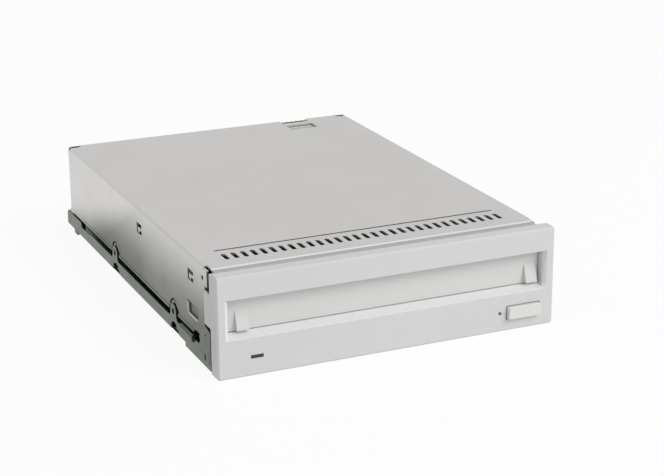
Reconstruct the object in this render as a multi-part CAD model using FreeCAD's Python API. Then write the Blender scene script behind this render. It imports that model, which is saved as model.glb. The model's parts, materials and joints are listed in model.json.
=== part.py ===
import FreeCAD, Part

import math
import os

V = FreeCAD.Vector

# A half-height 5.25-inch magneto-optical disc drive that takes a cartridge through a slot door.
# Lengths are millimetres. X runs to the right and Y into the depth, from the bezel's front face;
# Z runs up from the plane that the drive stands on. The last step moves the drive so that its
# origin is the middle of its underside.

# Overall form: the half-height drive bay and the depth behind the bezel
BEZEL_OVERHANG = 1.0
BEZEL_HEIGHT = 42.0
BEZEL_DEPTH = 6.85
BODY_WIDTH = 146.0
BODY_DEPTH = 203.2

# Bezel moulding
BEZEL_WALL = 2.4
BEZEL_EDGE_RADIUS = 1.2
BEZEL_TOP_DEPTH = 6.0
RECESS_SIDE = 3.6
RECESS_BOTTOM_Z = 16.1
RECESS_TOP_Z = 32.3
RECESS_BEVEL = 1.4
LIP_RISE = 1.6
RECESS_WALL = 1.6
LIP_LAND = 0.4
WING_LENGTH = 9.6
WING_TOP_LENGTH = 3.3
WING_THICKNESS = 1.9
WING_BOTTOM_Z = 18.2
WING_BELOW_COVER = 0.5
WING_STEP_Z = 32.2
WING_STEP_WALL = 0.7
WING_STEP_DROP = 1.5
PINHOLE_INSET = 3.2
PINHOLE_RADIUS = 0.75
BEZEL_POST = 3.0
BEZEL_POST_X = (-40.0, 0.0, 40.0)

# Slot door and its hinge
DOOR_THICKNESS = 1.6
DOOR_FRONT_Y = 4.6
DOOR_GAP = 0.3
DOOR_TOP_Z = 33.0
HINGE_Z = 35.2
HINGE_BEHIND_DOOR = 1.8
HINGE_PIN_RADIUS = 0.75
KNUCKLE_WALL = 1.0
KNUCKLE_LENGTH = 14.0
KNUCKLE_X = (-57.0, 0.0, 57.0)
HINGE_EAR_X = (-30.0, 30.0)
HINGE_EAR_THICKNESS = 2.0
PULL_WIDTH = 5.2
PULL_HEIGHT = 8.0
PULL_DEPTH = 2.4
PULL_LIFT = 0.5
PULL_LEFT_INSET = 3.8
PULL_RIGHT_INSET = 6.5
SPRING_WIRE = 0.5
SPRING_LEG = 2.8
SPRING_LENGTH = 6.0

# Button, indicator and the small board behind them
BUTTON_INSET = 6.7
BUTTON_Z = 5.3
BUTTON_WIDTH = 15.0
BUTTON_HEIGHT = 5.2
BUTTON_PROUD = 2.0
BUTTON_GAP = 0.4
BUTTON_FLANGE = 1.2
BUTTON_EDGE_RADIUS = 0.5
STEM_RADIUS = 1.0
STEM_CLEARANCE = 0.08
SWITCH_SIZE = 6.0
SWITCH_DEPTH = 1.6
LENS_INSET_X = 13.7
LENS_Z = 7.2
LENS_WIDTH = 5.3
LENS_HEIGHT = 1.5
LENS_INSET = 0.25
FRONT_BOARD_THICKNESS = 1.2
FRONT_BOARD_HEIGHT = 9.6
FRONT_BOARD_BOTTOM_Z = 3.2

# Chassis pan
STEEL = 1.0
FOLD_RADIUS = 1.4
PLATE_BOTTOM_Z = 0.8
RAIL_TOP_Z = 7.0
CHASSIS_FRONT_Y = 10.5
FRONT_WALL_TOP_Z = 12.8
CORNER_PLATE_Z = 17.6
CORNER_PLATE_Y = 16.8
RELIEF_Y = 26.3
RELIEF_Z = 9.0
RELIEF_RADIUS = 1.85
RELIEF_REACH = 2.0
FRONT_FOOT_END_Y = 40.0
REAR_FOOT_INSET = 16.05
REAR_FOOT_LENGTH = 5.0
REAR_RISE_LENGTH = 23.05
REAR_RISE_GAP = 1.1
REAR_RISE_CORNER = 1.4
NOTCH_LENGTH = 14.0
NOTCH_DROP = 0.7
SIDE_HOLE_BEHIND_BEZEL = 47.4
SIDE_HOLE_Z = 10.0
HOLE_PITCH_Y = 79.25
BOTTOM_HOLE_PITCH_X = 139.7
MOUNT_HOLE_RADIUS = 1.25
EAR_RADIUS = 3.5
ARCH_RADIUS = 5.6
ARCH_SILL_Z = 0.9
ARCH_FORWARD = 1.2
BEAD_RADIUS = 1.6
BEAD_PROUD = 1.0
BEAD_RISE = -0.2
BEAD_START_Y = 29.5
BEAD_END_Y = 44.6
FRONT_SLOT_X = (-52.0, 0.0, 58.0)
FRONT_SLOT_Z = 8.6
FRONT_SLOT_REACH = 9.0
FRONT_SLOT_WIDTH = 5.0
FLOOR_OPENING_X = (-44.0, 0.0, 44.0)
FLOOR_OPENING_Y = (30.0, 92.0, 112.0, 172.0)
FLOOR_OPENING_REACH = 14.0
FLOOR_OPENING_WIDTH = 5.0

# Top cover
COVER_SHEET = 0.8
COVER_BELOW_BEZEL = 0.9
COVER_SET_IN = 0.6
COVER_BOTTOM_Z = 9.6
COVER_FRONT_Y = 14.0
COVER_SIDE_FRONT_Y = 16.8
COVER_TAB_FRONT_Y = 14.2
COVER_TAB_BOTTOM_Z = 33.3
COVER_REAR_INSET = 5.25
COVER_LIP = 0.4
CORNER_NOTCH_INSET = 1.8
CORNER_NOTCH_DROP = 0.9
CORNER_NOTCH_Y = 18.3
JOGGLE_DROP = 0.5
JOGGLE_FRONT_Y = 7.2
ARCH_GAP = 1.9
VENT_COUNT = 31
VENT_PITCH = 4.04
VENT_WIDTH = 1.9
VENT_LENGTH = 6.8
VENT_Y = 24.9
SLIT_Y = 33.0
SLIT_INSET = 10.6
SLIT_WIDTH = 1.2
REAR_WINDOW_X = (36.6, 50.4)
REAR_WINDOW_BEHIND = 8.8
REAR_WINDOW_LENGTH = 7.8
REAR_NOTCH_LENGTH = 4.6
REAR_NOTCH_DROP = 3.4
CORNER_RELIEF_INSET = 2.7
CORNER_RELIEF_RADIUS = 3.3
REAR_FLANGE_BOTTOM_Z = 18.0
SIDE_WINDOW_Y = (25.0, 38.2)
SIDE_WINDOW_Z = (14.6, 21.0)
LANCES = ((29.8, 30.2), (94.5, 30.0))
LANCE_LENGTH = 6.4
LANCE_HEIGHT = 4.6
LANCE_SLOT = 1.7
LANCE_REAR_SLOT = 1.6
LANCE_FOOT = 2.6
LANCE_FOOT_SLOT = 0.6
CORNER_SLOT_Y = 18.2
CORNER_SLOT_Z = (35.2, 36.9)
CORNER_SLOT_WIDTH = 2.0

# Cartridge and the holder that carries it: the standard 5.25-inch optical cartridge
CARTRIDGE_WIDTH = 135.0
CARTRIDGE_THICKNESS = 11.0
CARTRIDGE_CLEARANCE = 0.5
CARTRIDGE_BOTTOM_Z = 18.4
HOLDER_SHEET = 0.7
HOLDER_FRONT_Y = 25.2
HOLDER_LENGTH = 136.0
HOLDER_LEDGE = 7.6
LOWERING = 5.0
PIN_RADIUS = 1.25
PIN_CLEARANCE = 0.1
PIN_Y = (52.0, 140.0)
PIN_Z = 24.5
BIAS_COIL_WIDTH = 14.0
BIAS_COIL_HEIGHT = 4.6
BIAS_WINDOW_Y = (92.0, 148.0)
PAD_X = 28.0
PAD_Y = 44.0
PAD_WIDTH = 6.0
ROOF_WINDOW = (26.0, 30.0)
ROOF_WINDOWS = ((-46.0, 66.0), (46.0, 66.0), (46.0, 112.0))

# Lift guides and loading slider
GUIDE_SHEET = 0.9
GUIDE_Y = (44.0, 148.0)
GUIDE_TOP_Z = 36.0
GUIDE_GAP = 0.3
GUIDE_WINDOW_INSET = 16.0
GUIDE_WINDOW_Z = (15.0, 28.0)
WINDOW_CORNER = 3.0
SLIDER_SHEET = 0.7
SLIDER_GAP = 0.2
SLIDER_Y = (34.0, 150.0)
SLIDER_BOTTOM_Z = 16.4
SLIDER_TOP_Z = 37.6
SLIDER_TRAVEL = 12.0
SLIDER_RELIEF = 30.0
SLIDER_WINDOW_INSET = 14.0
SLIDER_WINDOW_Z = (20.4, 28.0)
STUD_Y = (72.0, 122.0)
STUD_Z = 33.0
CROSS_BARS_Y = ((34.0, 50.0), (128.0, 150.0))
RACK_TONGUE_END_Y = 182.0

# Loading gears: teeth are counted, sizes follow from the module
GEAR_MODULE = 0.5
PRESSURE_ANGLE = math.radians(20.0)
ADDENDUM = 0.9 * GEAR_MODULE
DEDENDUM = 1.2 * GEAR_MODULE
RACK_PITCH_X = -62.0
RACK_START_Y = 158.0
SLIDER_PINION_TEETH = 16
SLIDER_WHEEL_TEETH = 44
REDUCTION_PINION_TEETH = 12
REDUCTION_WHEEL_TEETH = 36
MOTOR_PINION_TEETH = 10
BACKLASH = 0.14
GEAR_CENTRE_Y = 176.0
GEAR_SHAFT_RADIUS = 1.0
GEAR_BORE_CLEARANCE = 0.05
MOTOR_TURN = 45.0
MOTOR_RADIUS = 8.0
MOTOR_LENGTH = 15.0
MOTOR_FLATS = 3.0
MOTOR_SHAFT_RADIUS = 0.75
MOTOR_SHAFT_CLEARANCE = 0.03
BRACKET_Z = 29.6
BRACKET_SHEET = 1.0
WHEEL_Z = (33.9, 35.7)
REDUCTION_Z = (31.2, 33.2)
GEAR_FOOT_GAP = 0.3

# Base deck
DECK_Z = 9.0
DECK_THICKNESS = 2.5
DECK_DROP = 2.5
DECK_STEP_Y = 46.0
DECK_FRONT_Y = 30.0
DECK_REAR_INSET = 17.55
DECK_RIB = 1.6
DECK_RIB_DROP = 1.7
DECK_END_MARGIN = 5.1
HEAD_WINDOW_Y = (94.5, 165.5)
HEAD_WINDOW_HALF_WIDTH = 36.0
DAMPER_FRONT = (50.0, 38.0)
DAMPER_REAR_X = 57.5
DAMPER_REAR_INSET = 6.5
DAMPER_RADIUS = 5.0
DAMPER_NECK_RADIUS = 3.4
DAMPER_FLANGE = 1.0
DAMPER_STUD_RADIUS = 1.9
DAMPER_SCREW_RADIUS = 3.4
DAMPER_SCREW_HEAD = 1.2

# Spindle
SPINDLE_Y = 81.0
SPINDLE_PLATE_RADIUS = 16.5
SPINDLE_PLATE = 1.2
SPINDLE_BORE_RADIUS = 14.5
ROTOR_RADIUS = 13.0
ROTOR_TOP_Z = 14.8
HUB_CONE_RADIUS = 2.0
HUB_CONE_HEIGHT = 1.6
SPINDLE_SHAFT_RADIUS = 1.5
SPINDLE_SLEEVE_RADIUS = 3.5
SPINDLE_CLEARANCE = 0.03
CLAMP_MAGNET_WIDTH = 4.0
CLAMP_MAGNET_INSET = 2.0
CLAMP_MAGNET_GROOVE = 0.8

# Optical carriage, its rods and its voice-coil motors
RAIL_ROD_X = 18.0
RAIL_ROD_Z = 7.4
RAIL_ROD_RADIUS = 1.5
RAIL_ROD_CLEARANCE = 0.04
FORK_PLAY = 0.5
RAIL_CLAMP = 6.0
RAIL_CLAMP_LENGTH = 4.5
CARRIAGE_Y = 110.0
CARRIAGE_LENGTH = 20.0
CARRIAGE_HALF_WIDTH = 22.0
CARRIAGE_BOTTOM_Z = 5.3
CARRIAGE_TOP_Z = 10.4
LENS_RADIUS = 2.2
LENS_HOLDER_RADIUS = 4.2
LENS_TOP_Z = 12.4
LASER_Z = 7.9
MIRROR_HALF = 1.5
COIL_X = (25.2, 32.0)
COIL_Z = (5.9, 10.5)
COIL_WALL = 1.5
COIL_LENGTH = 14.0
COIL_GAP = 0.5
MAGNET_X = (32.9, 34.6)
OPTICS_Y = (172.0, 190.0)
OPTICS_HALF_WIDTH = 20.0
OPTICS_TOP_Z = 19.0
OPTICS_FLANGE = 1.5
OPTICS_BARREL_RADIUS = 3.0

# Control board and what is plugged or soldered to it
BOARD_THICKNESS = 1.6
BOARD_BOTTOM_Z = 3.2
BOARD_FRONT_Y = 58.0
BOARD_REAR_INSET = 7.05
BOARD_SIDE_CLEARANCE = 7.0
STANDOFF_RADIUS = 2.4
BOARD_SCREW_RADIUS = 0.8
BOARD_SCREW_HEAD_RADIUS = 1.9
BOARD_SCREW_HEAD = 1.1
BOARD_SCREW_INSET = 3.5
BOARD_SCREW_ENDS = (5.0, 13.0)
BOARD_MIDDLE_SCREW_Y = 130.0
CONNECTOR_REAR_INSET = 1.55
SCSI_X = (-60.0, 10.6)
SCSI_HEIGHT = 9.2
SCSI_DEPTH = 9.0
SCSI_PIN_COUNT = 25
PIN_PITCH = 2.54
PIN_SIZE = 0.64
SCSI_BACK = 2.4
SCSI_WALL = 1.4
JUMPER_HEIGHT = 5.2
JUMPER_DEPTH = 2.5
JUMPER_REACH = 6.0
HEADER_DEPTH = 5.0
HEADER_HEIGHT = 3.0
HEADER_GAP = 0.4
HEADER_PIN_DROP = 0.6
HEADER_PIN_REACH = 2.4
HEADER_PIN_HALF = 0.9
POWER_X = (41.0, 62.0)
POWER_HEIGHT = 10.8
POWER_DEPTH = 15.0
POWER_PITCH = 5.08
POWER_PIN_RADIUS = 1.05
JUMPER_X = (18.0, 34.0)
JUMPER_PIN_COUNT = 6
RISER_X = (33.0, 55.0)
RISER_INSET = 12.65
RISER_THICKNESS = 1.2
RISER_BELOW_COVER = 0.6
COMB_BELOW_COVER = 0.25
RISER_LEG = 7.4
RISER_STEP_GAP = 0.6
COMB_HEIGHT = 4.0
COMB_PIN_COUNT = 11
COMB_PITCH = 1.25
COMB_SLOT = 0.55
COMB_LENGTH = 5.2
COMB_DEPTH = 1.2
HEADER_PIN_COUNT = 5

# Packages on the control board: middle x and y, width, depth
CHIP_HEIGHT = 1.8
CHIPS = (
    (-48.0, 78.0, 24.0, 24.0),
    (48.0, 84.0, 20.0, 20.0),
    (-50.0, 116.0, 14.0, 20.0),
    (49.0, 112.0, 12.0, 18.0),
    (-49.0, 150.0, 18.0, 12.0),
    (48.0, 156.0, 20.0, 14.0),
    (0.0, 66.0, 20.0, 10.0),
)

# Shutter lever on the holder's roof
LEVER_PIVOT = (-22.0, 156.0)
LEVER_LENGTH = 40.0
LEVER_REST = 60.0
LEVER_SWING = 56.0
LEVER_WIDTH = 6.0
LEVER_SHEET = 0.8
LEVER_PIN_RADIUS = 1.2

# Flats that draw a slot's half-round end, a bar, a small bar and a wheel or an arch, and the turn and the
# length of an arc's flats
END_FLATS = 3
BAR_FLATS = 12
SMALL_BAR_FLATS = 8
SMALL_BAR_RADIUS = 2.5
WHEEL_FLATS = 20
FLAT_TURN = math.radians(20)
FLAT_LENGTH = 6.0

# Brackets inside the cover and the two screws at its rear
FRONT_BRACKET_Y = (19.0, 40.0)
FRONT_BRACKET_LEG = 2.0
FRONT_BRACKET_ARCH_Z = 13.6
REAR_BRACKET_LENGTH = 18.0
BRACKET_TOP_Z = 34.0
BRACKET_FLANGE_DROP = 4.0
ANGLE_SHEET = 0.6
BRACKET_FOOT = 3.4
BRACKET_FLANGE = 9.0
SCREW_INSET = 6.8
SCREW_Z = 26.0
SCREW_RADIUS = 1.5
SCREW_HEAD_RADIUS = 2.6
SCREW_HEAD = 1.0


def span(low, length):
    """Return the pair of ends of a stretch that starts at low."""
    return (low, low + length)


def around(middle, length):
    """Return the pair of ends of a stretch centred on middle."""
    return (middle - length / 2, middle + length / 2)


def box(x, y, z):
    """Return a block between three pairs of ends."""
    return Part.makeBox(x[1] - x[0], y[1] - y[0], z[1] - z[0], V(x[0], y[0], z[0]))


def rod(radius, start, end):
    """Return a round bar from one point to another."""
    run = V(*end) - V(*start)
    return Part.makeCylinder(radius, run.Length, V(*start), run)


def bar(radius, start, end, sides=0):
    """Return a bar of many flats whose flats lie at the given radius; small bars have fewer flats."""
    sides = round(sides or (SMALL_BAR_FLATS if radius < SMALL_BAR_RADIUS else BAR_FLATS))
    first, run = V(*start), V(*end) - V(*start)
    upright = abs(run.z) > run.Length / 2
    side = V(1, 0, 0) if upright else run.cross(V(0, 0, 1)).normalize()
    corner = radius / math.cos(math.pi / sides)
    turns = [FreeCAD.Rotation(run, 360.0 * (i + 0.5) / sides) for i in range(sides)]
    corners = [first + turn.multVec(side * corner) for turn in turns]
    return Part.Face(Part.makePolygon(corners + corners[:1])).extrude(run)


def tube(radius, bore, start, end, sides=0):
    """Return a bar of many flats with a bore through it."""
    return bar(radius, start, end, sides).cut(bar(bore, start, end, sides))


def fused(shapes):
    """Return one solid made of pieces that touch or overlap."""
    first, rest = shapes[0], list(shapes[1:])
    whole = first.multiFuse(rest) if rest else first
    return whole.removeSplitter()


def cut(shape, tools):
    """Return the shape with every tool taken out of it."""
    return shape.cut(list(tools)).removeSplitter() if tools else shape


def both_sides(shape):
    """Return the shape and its mirror image across the drive's middle plane."""
    return [shape, shape.mirror(V(0, 0, 0), V(1, 0, 0))]


def point(axis, level, a, b):
    """Return the point at (a, b) on the plane across the named axis at the given level."""
    order = {"x": (level, a, b), "y": (a, level, b), "z": (a, b, level)}
    return V(*order[axis])


def outline(axis, level, steps):
    """Return a face from an outline: each step is a corner (a, b) or an arc of flats (middle, end)."""
    corners = [point(axis, level, *steps[0])]
    for step in list(steps[1:]) + [steps[0]]:
        if isinstance(step[0], tuple):
            middle, there = (point(axis, level, *p) for p in step)
            arc = Part.Arc(corners[-1], middle, there).toShape()
            flats = max(2, round(arc.Length / arc.Curve.Radius / FLAT_TURN), round(arc.Length / FLAT_LENGTH))
            corners += arc.discretize(flats + 1)[1:]
        elif (point(axis, level, *step) - corners[-1]).Length > 1e-6:
            corners.append(point(axis, level, *step))
    return Part.Face(Part.makePolygon(corners))


def prism(axis, ends, steps):
    """Return an outline carried straight along the named axis between two levels."""
    run = {"x": V(1, 0, 0), "y": V(0, 1, 0), "z": V(0, 0, 1)}[axis]
    return outline(axis, ends[0], steps).extrude(run * (ends[1] - ends[0]))


def slot(axis, ends, start, end, width):
    """Return a round-ended bar whose end centres are two points (a, b) across the axis."""
    along = math.atan2(end[1] - start[1], end[0] - start[0])
    reach, step = width / 2 / math.cos(math.pi / 2 / END_FLATS), math.pi / END_FLATS
    steps = []
    for centre, facing in ((end, along), (start, along + math.pi)):
        for i in range(END_FLATS):
            angle = facing - math.pi / 2 + (i + 0.5) * step
            steps.append((centre[0] + reach * math.cos(angle), centre[1] + reach * math.sin(angle)))
    return prism(axis, ends, steps)


def rounded_rect(a, b, r):
    """Return outline steps for a rectangle whose round corners are drawn with two flats' meetings each."""
    k = r * (1 - math.tan(math.pi / 8))
    return [
        (a[0] + k, b[0]), (a[1] - k, b[0]), (a[1], b[0] + k), (a[1], b[1] - k),
        (a[1] - k, b[1]), (a[0] + k, b[1]), (a[0], b[1] - k), (a[0], b[0] + k)]


def bevelled(shape, size, wanted):
    """Return the shape with a flat bevel on each edge that the test picks by its middle point."""
    edges = [e for e in shape.Edges if wanted(e.CenterOfMass, e)]
    return shape.makeChamfer(size, edges)


def near(value, target):
    """Say whether two lengths are the same within a hundredth."""
    return abs(value - target) < 0.01


# Places that several pieces share
REAR_Y = BEZEL_DEPTH + BODY_DEPTH
BEZEL_WIDTH = BODY_WIDTH + 2 * BEZEL_OVERHANG
RECESS_HALF_WIDTH = BEZEL_WIDTH / 2 - RECESS_SIDE
BUTTON_FRONT_Y = -BUTTON_PROUD
ORIGIN_Y = (REAR_Y + BUTTON_FRONT_Y) / 2
SIDE_X = BODY_WIDTH / 2
COVER_X = SIDE_X - COVER_SET_IN
COVER_INNER_X = COVER_X - COVER_SHEET
COVER_TOP_Z = BEZEL_HEIGHT - COVER_BELOW_BEZEL
COVER_REAR_Y = REAR_Y - COVER_REAR_INSET
SCREW_X = COVER_X - SCREW_INSET
REAR_FOOT_Y = REAR_Y - REAR_FOOT_INSET
REAR_RISE_Y = REAR_Y - REAR_RISE_LENGTH
NOTCH_Y = REAR_RISE_Y - NOTCH_LENGTH
DECK_Y = (DECK_FRONT_Y, REAR_Y - DECK_REAR_INSET)
DAMPER_REAR = (DAMPER_REAR_X, DECK_Y[1] - DAMPER_REAR_INSET)
CONNECTOR_REAR_Y = REAR_Y - CONNECTOR_REAR_INSET
RISER_Y = REAR_Y - RISER_INSET
BOARD_Y = (BOARD_FRONT_Y, REAR_Y - BOARD_REAR_INSET)
BOARD_HALF_WIDTH = SIDE_X - BOARD_SIDE_CLEARANCE
BOARD_SCREW_X = BOARD_HALF_WIDTH - BOARD_SCREW_INSET
BOARD_SCREW_Y = (BOARD_Y[0] + BOARD_SCREW_ENDS[0], BOARD_MIDDLE_SCREW_Y, BOARD_Y[1] - BOARD_SCREW_ENDS[1])
CORNER_NOTCH_X = COVER_X - CORNER_NOTCH_INSET
REAR_WINDOW_Y = (COVER_REAR_Y - REAR_WINDOW_BEHIND - REAR_WINDOW_LENGTH, COVER_REAR_Y - REAR_WINDOW_BEHIND)
WING_TOP_Z = COVER_TOP_Z - WING_BELOW_COVER
BOARD_TOP_Z = BOARD_BOTTOM_Z + BOARD_THICKNESS
FRONT_BOARD_MIDDLE_Z = FRONT_BOARD_BOTTOM_Z + FRONT_BOARD_HEIGHT / 2
RISER_STEP_Z = BOARD_TOP_Z + POWER_HEIGHT + RISER_STEP_GAP
COVER_INNER_Z = COVER_TOP_Z - COVER_SHEET
RISER_TOP_Z = COVER_INNER_Z - RISER_BELOW_COVER
PLATE_TOP_Z = PLATE_BOTTOM_Z + STEEL
SIDE_HOLE_Y = BEZEL_DEPTH + SIDE_HOLE_BEHIND_BEZEL
HINGE_Y = DOOR_FRONT_Y + HINGE_BEHIND_DOOR
DOOR_BOTTOM_Z = RECESS_BOTTOM_Z + LIP_RISE + DOOR_GAP
DOOR_HALF_WIDTH = RECESS_HALF_WIDTH - RECESS_BEVEL - DOOR_GAP
KNUCKLE_RADIUS = HINGE_PIN_RADIUS + KNUCKLE_WALL
FRONT_BOARD_Y = BEZEL_DEPTH + 1.55
BUTTON_X = BEZEL_WIDTH / 2 - BUTTON_INSET - BUTTON_WIDTH
LENS_X = LENS_INSET_X - BEZEL_WIDTH / 2
PINHOLE_X = BUTTON_X - PINHOLE_INSET
BUTTON_MIDDLE = (BUTTON_X + BUTTON_WIDTH / 2, BUTTON_Z + BUTTON_HEIGHT / 2)
CORNER_TRIM_Z = BEZEL_HEIGHT - BEZEL_WALL - 0.2
SWITCH_FRONT_Y = FRONT_BOARD_Y - SWITCH_DEPTH
HOLDER_INNER_X = CARTRIDGE_WIDTH / 2 + CARTRIDGE_CLEARANCE
HOLDER_X = HOLDER_INNER_X + HOLDER_SHEET
HOLDER_FLOOR_Z = CARTRIDGE_BOTTOM_Z - 0.3
HOLDER_ROOF_Z = CARTRIDGE_BOTTOM_Z + CARTRIDGE_THICKNESS + CARTRIDGE_CLEARANCE
HOLDER_TOP_Z = HOLDER_ROOF_Z + HOLDER_SHEET
HOLDER_Y = (HOLDER_FRONT_Y, HOLDER_FRONT_Y + HOLDER_LENGTH)
GUIDE_X = HOLDER_X + GUIDE_GAP
GUIDE_OUTER_X = GUIDE_X + GUIDE_SHEET
SLIDER_X = GUIDE_OUTER_X + SLIDER_GAP
SLIDER_OUTER_X = SLIDER_X + SLIDER_SHEET
PIN_END_X = SLIDER_OUTER_X + 0.3
DECK_TOP_Z = DECK_Z + DECK_THICKNESS
DECK_END_HALF_WIDTH = DAMPER_REAR[0] + DAMPER_NECK_RADIUS + DECK_END_MARGIN
GEAR_FOOT_Z = BRACKET_Z + BRACKET_SHEET + GEAR_FOOT_GAP
MOTOR_SHAFT_TOP_Z = REDUCTION_Z[1] + 0.4


def pitch_radius(teeth):
    """Return the radius of a gear's pitch circle."""
    return GEAR_MODULE * teeth / 2


SLIDER_GEAR_X = RACK_PITCH_X + pitch_radius(SLIDER_PINION_TEETH)
REDUCTION_X = SLIDER_GEAR_X + pitch_radius(SLIDER_WHEEL_TEETH) + pitch_radius(REDUCTION_PINION_TEETH)
MOTOR_DISTANCE = pitch_radius(REDUCTION_WHEEL_TEETH) + pitch_radius(MOTOR_PINION_TEETH)
MOTOR_X = REDUCTION_X + MOTOR_DISTANCE * math.cos(math.radians(MOTOR_TURN))
MOTOR_Y = GEAR_CENTRE_Y + MOTOR_DISTANCE * math.sin(math.radians(MOTOR_TURN))


def bezel_shell():
    """Return the open-backed front moulding with its rounded front edges."""
    edge = rounded_rect((-BEZEL_WIDTH / 2, BEZEL_WIDTH / 2), (0, BEZEL_HEIGHT), BEZEL_EDGE_RADIUS)
    outer = bevelled(prism("y", (0, BEZEL_DEPTH), edge), BEZEL_EDGE_RADIUS * 0.6, lambda c, e: near(c.y, 0))
    inside_x = BEZEL_WIDTH / 2 - BEZEL_WALL
    inside = box((-inside_x, inside_x), (BEZEL_WALL, BEZEL_DEPTH), (BEZEL_WALL, BEZEL_HEIGHT - BEZEL_WALL))
    top_trim = box((-BEZEL_WIDTH, BEZEL_WIDTH), (BEZEL_TOP_DEPTH, BEZEL_DEPTH), (CORNER_TRIM_Z, BEZEL_HEIGHT))
    return outer.cut(inside).cut(top_trim)


def recess_steps(grow, top):
    """Return the outline of the slot opening, grown by a wall, for a tunnel up to the given height."""
    half = RECESS_HALF_WIDTH - RECESS_BEVEL + grow
    low = RECESS_BOTTOM_Z + LIP_RISE - grow
    return [(-half, low), (half, low), (half, top), (-half, top)]


def recess_cutter():
    """Return the slot opening: bevelled sides at its mouth, a ramped lower lip and a straight way in."""
    half, floor, lip = RECESS_HALF_WIDTH - RECESS_BEVEL, RECESS_BOTTOM_Z, RECESS_BOTTOM_Z + LIP_RISE
    ramp_end, back = DOOR_FRONT_Y - LIP_LAND, BEZEL_DEPTH + 1
    way = prism("x", (-half, half), [
        (-1, floor), (0, floor), (ramp_end, lip), (back, lip), (back, RECESS_TOP_Z), (-1, RECESS_TOP_Z)])
    rise = LIP_RISE * RECESS_BEVEL / ramp_end
    mouths = []
    for side in (-1, 1):
        mouth = prism("y", (0, RECESS_BEVEL), [
            (side * (half - 1), floor), (side * (half + RECESS_BEVEL), floor),
            (side * (half + RECESS_BEVEL), RECESS_TOP_Z), (side * (half - 1), RECESS_TOP_Z)])
        bevel = prism("z", (floor - 1, RECESS_TOP_Z + 1), [
            (side * (half - 2), -1), (side * (half + RECESS_BEVEL), -1), (side * (half + RECESS_BEVEL), 0),
            (side * half, RECESS_BEVEL), (side * (half - 2), RECESS_BEVEL)])
        slope = prism("x", (-BEZEL_WIDTH, BEZEL_WIDTH), [
            (-1, floor), (0, floor), (RECESS_BEVEL, floor + rise), (RECESS_BEVEL, RECESS_TOP_Z),
            (-1, RECESS_TOP_Z)])
        mouths.append(mouth.common(bevel).common(slope))
    door_room = box((-DOOR_HALF_WIDTH - DOOR_GAP, DOOR_HALF_WIDTH + DOOR_GAP),
                    (DOOR_FRONT_Y - DOOR_GAP, BEZEL_DEPTH + 1), (RECESS_TOP_Z - 1, BEZEL_HEIGHT - BEZEL_WALL))
    return way.fuse(mouths[0]).fuse(mouths[1]).fuse(door_room)


def hinge_ears():
    """Return the ears behind the bezel that hold the door's hinge pin."""
    ears = []
    end_x = DOOR_HALF_WIDTH + DOOR_GAP + RECESS_WALL / 2
    places = [(-end_x, RECESS_WALL), (end_x, RECESS_WALL)]
    places += [(x, HINGE_EAR_THICKNESS) for x in HINGE_EAR_X]
    for middle, thickness in places:
        ends = around(middle, thickness)
        boss = bar(KNUCKLE_RADIUS, (ends[0], HINGE_Y, HINGE_Z), (ends[1], HINGE_Y, HINGE_Z))
        web = box(ends, (BEZEL_WALL - 0.4, HINGE_Y), (HINGE_Z - DOOR_GAP, HINGE_Z + KNUCKLE_RADIUS))
        ears.append(boss.fuse(web))
    return ears


def bezel_wing():
    """Return the right-hand arm that reaches back beside the cover: long below, short and high above."""
    inner, front = SIDE_X - WING_THICKNESS, BEZEL_DEPTH - 1
    long_y, short_y = (front, BEZEL_DEPTH + WING_LENGTH), (front, BEZEL_DEPTH + WING_TOP_LENGTH)
    arm = box((inner, SIDE_X), long_y, (WING_BOTTOM_Z, WING_STEP_Z))
    thinned = box((inner - 1, SIDE_X - WING_STEP_WALL), (short_y[1], long_y[1] + 1),
                  (WING_STEP_Z - WING_STEP_DROP, WING_STEP_Z + 1))
    return arm.cut(thinned).fuse(box((inner, SIDE_X), short_y, (WING_BOTTOM_Z, WING_TOP_Z)))


def front_bezel():
    """Return the whole front moulding."""
    tunnel = prism("y", (0.5, BEZEL_DEPTH), recess_steps(RECESS_WALL, RECESS_TOP_Z))
    hood = box((-DOOR_HALF_WIDTH, DOOR_HALF_WIDTH), (1, DOOR_FRONT_Y - DOOR_GAP - 0.1),
               (RECESS_TOP_Z, RECESS_TOP_Z + RECESS_WALL / 2))
    z = FRONT_BOARD_MIDDLE_Z
    posts = [bar(BEZEL_POST / 2, (x, 1.0, z), (x, FRONT_BOARD_Y, z)) for x in BEZEL_POST_X]
    shell = bezel_shell()
    body = fused([shell, tunnel, hood] + posts + both_sides(bezel_wing()))
    body = body.cut(recess_cutter())
    body = fused([body] + hinge_ears())
    grow = BUTTON_GAP
    opening = prism("y", (-1, BEZEL_WALL + 1), rounded_rect(
        (BUTTON_X - grow, BUTTON_X + BUTTON_WIDTH + grow), (BUTTON_Z - grow, BUTTON_Z + BUTTON_HEIGHT + grow),
        BUTTON_EDGE_RADIUS))
    window = box(span(LENS_X, LENS_WIDTH), (-1, BEZEL_WALL + 1), span(LENS_Z, LENS_HEIGHT))
    pinhole_z = LENS_Z + LENS_HEIGHT / 2
    pinhole = bar(PINHOLE_RADIUS, (PINHOLE_X, -1, pinhole_z), (PINHOLE_X, BEZEL_WALL + 1, pinhole_z))
    pin_way = bar(HINGE_PIN_RADIUS, (-SIDE_X, HINGE_Y, HINGE_Z), (SIDE_X, HINGE_Y, HINGE_Z))
    return cut(body, [opening, window, pinhole, pin_way])


def door_pull(left_x):
    """Return one wedge on the door's face: flush at its top, proud at its foot."""
    low = DOOR_BOTTOM_Z + PULL_LIFT
    high = low + PULL_HEIGHT
    return prism("x", span(left_x, PULL_WIDTH), [
        (DOOR_FRONT_Y + 0.5, low), (DOOR_FRONT_Y - PULL_DEPTH, low),
        (DOOR_FRONT_Y - PULL_DEPTH, low + 0.5), (DOOR_FRONT_Y, high), (DOOR_FRONT_Y + 0.5, high)])


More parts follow.
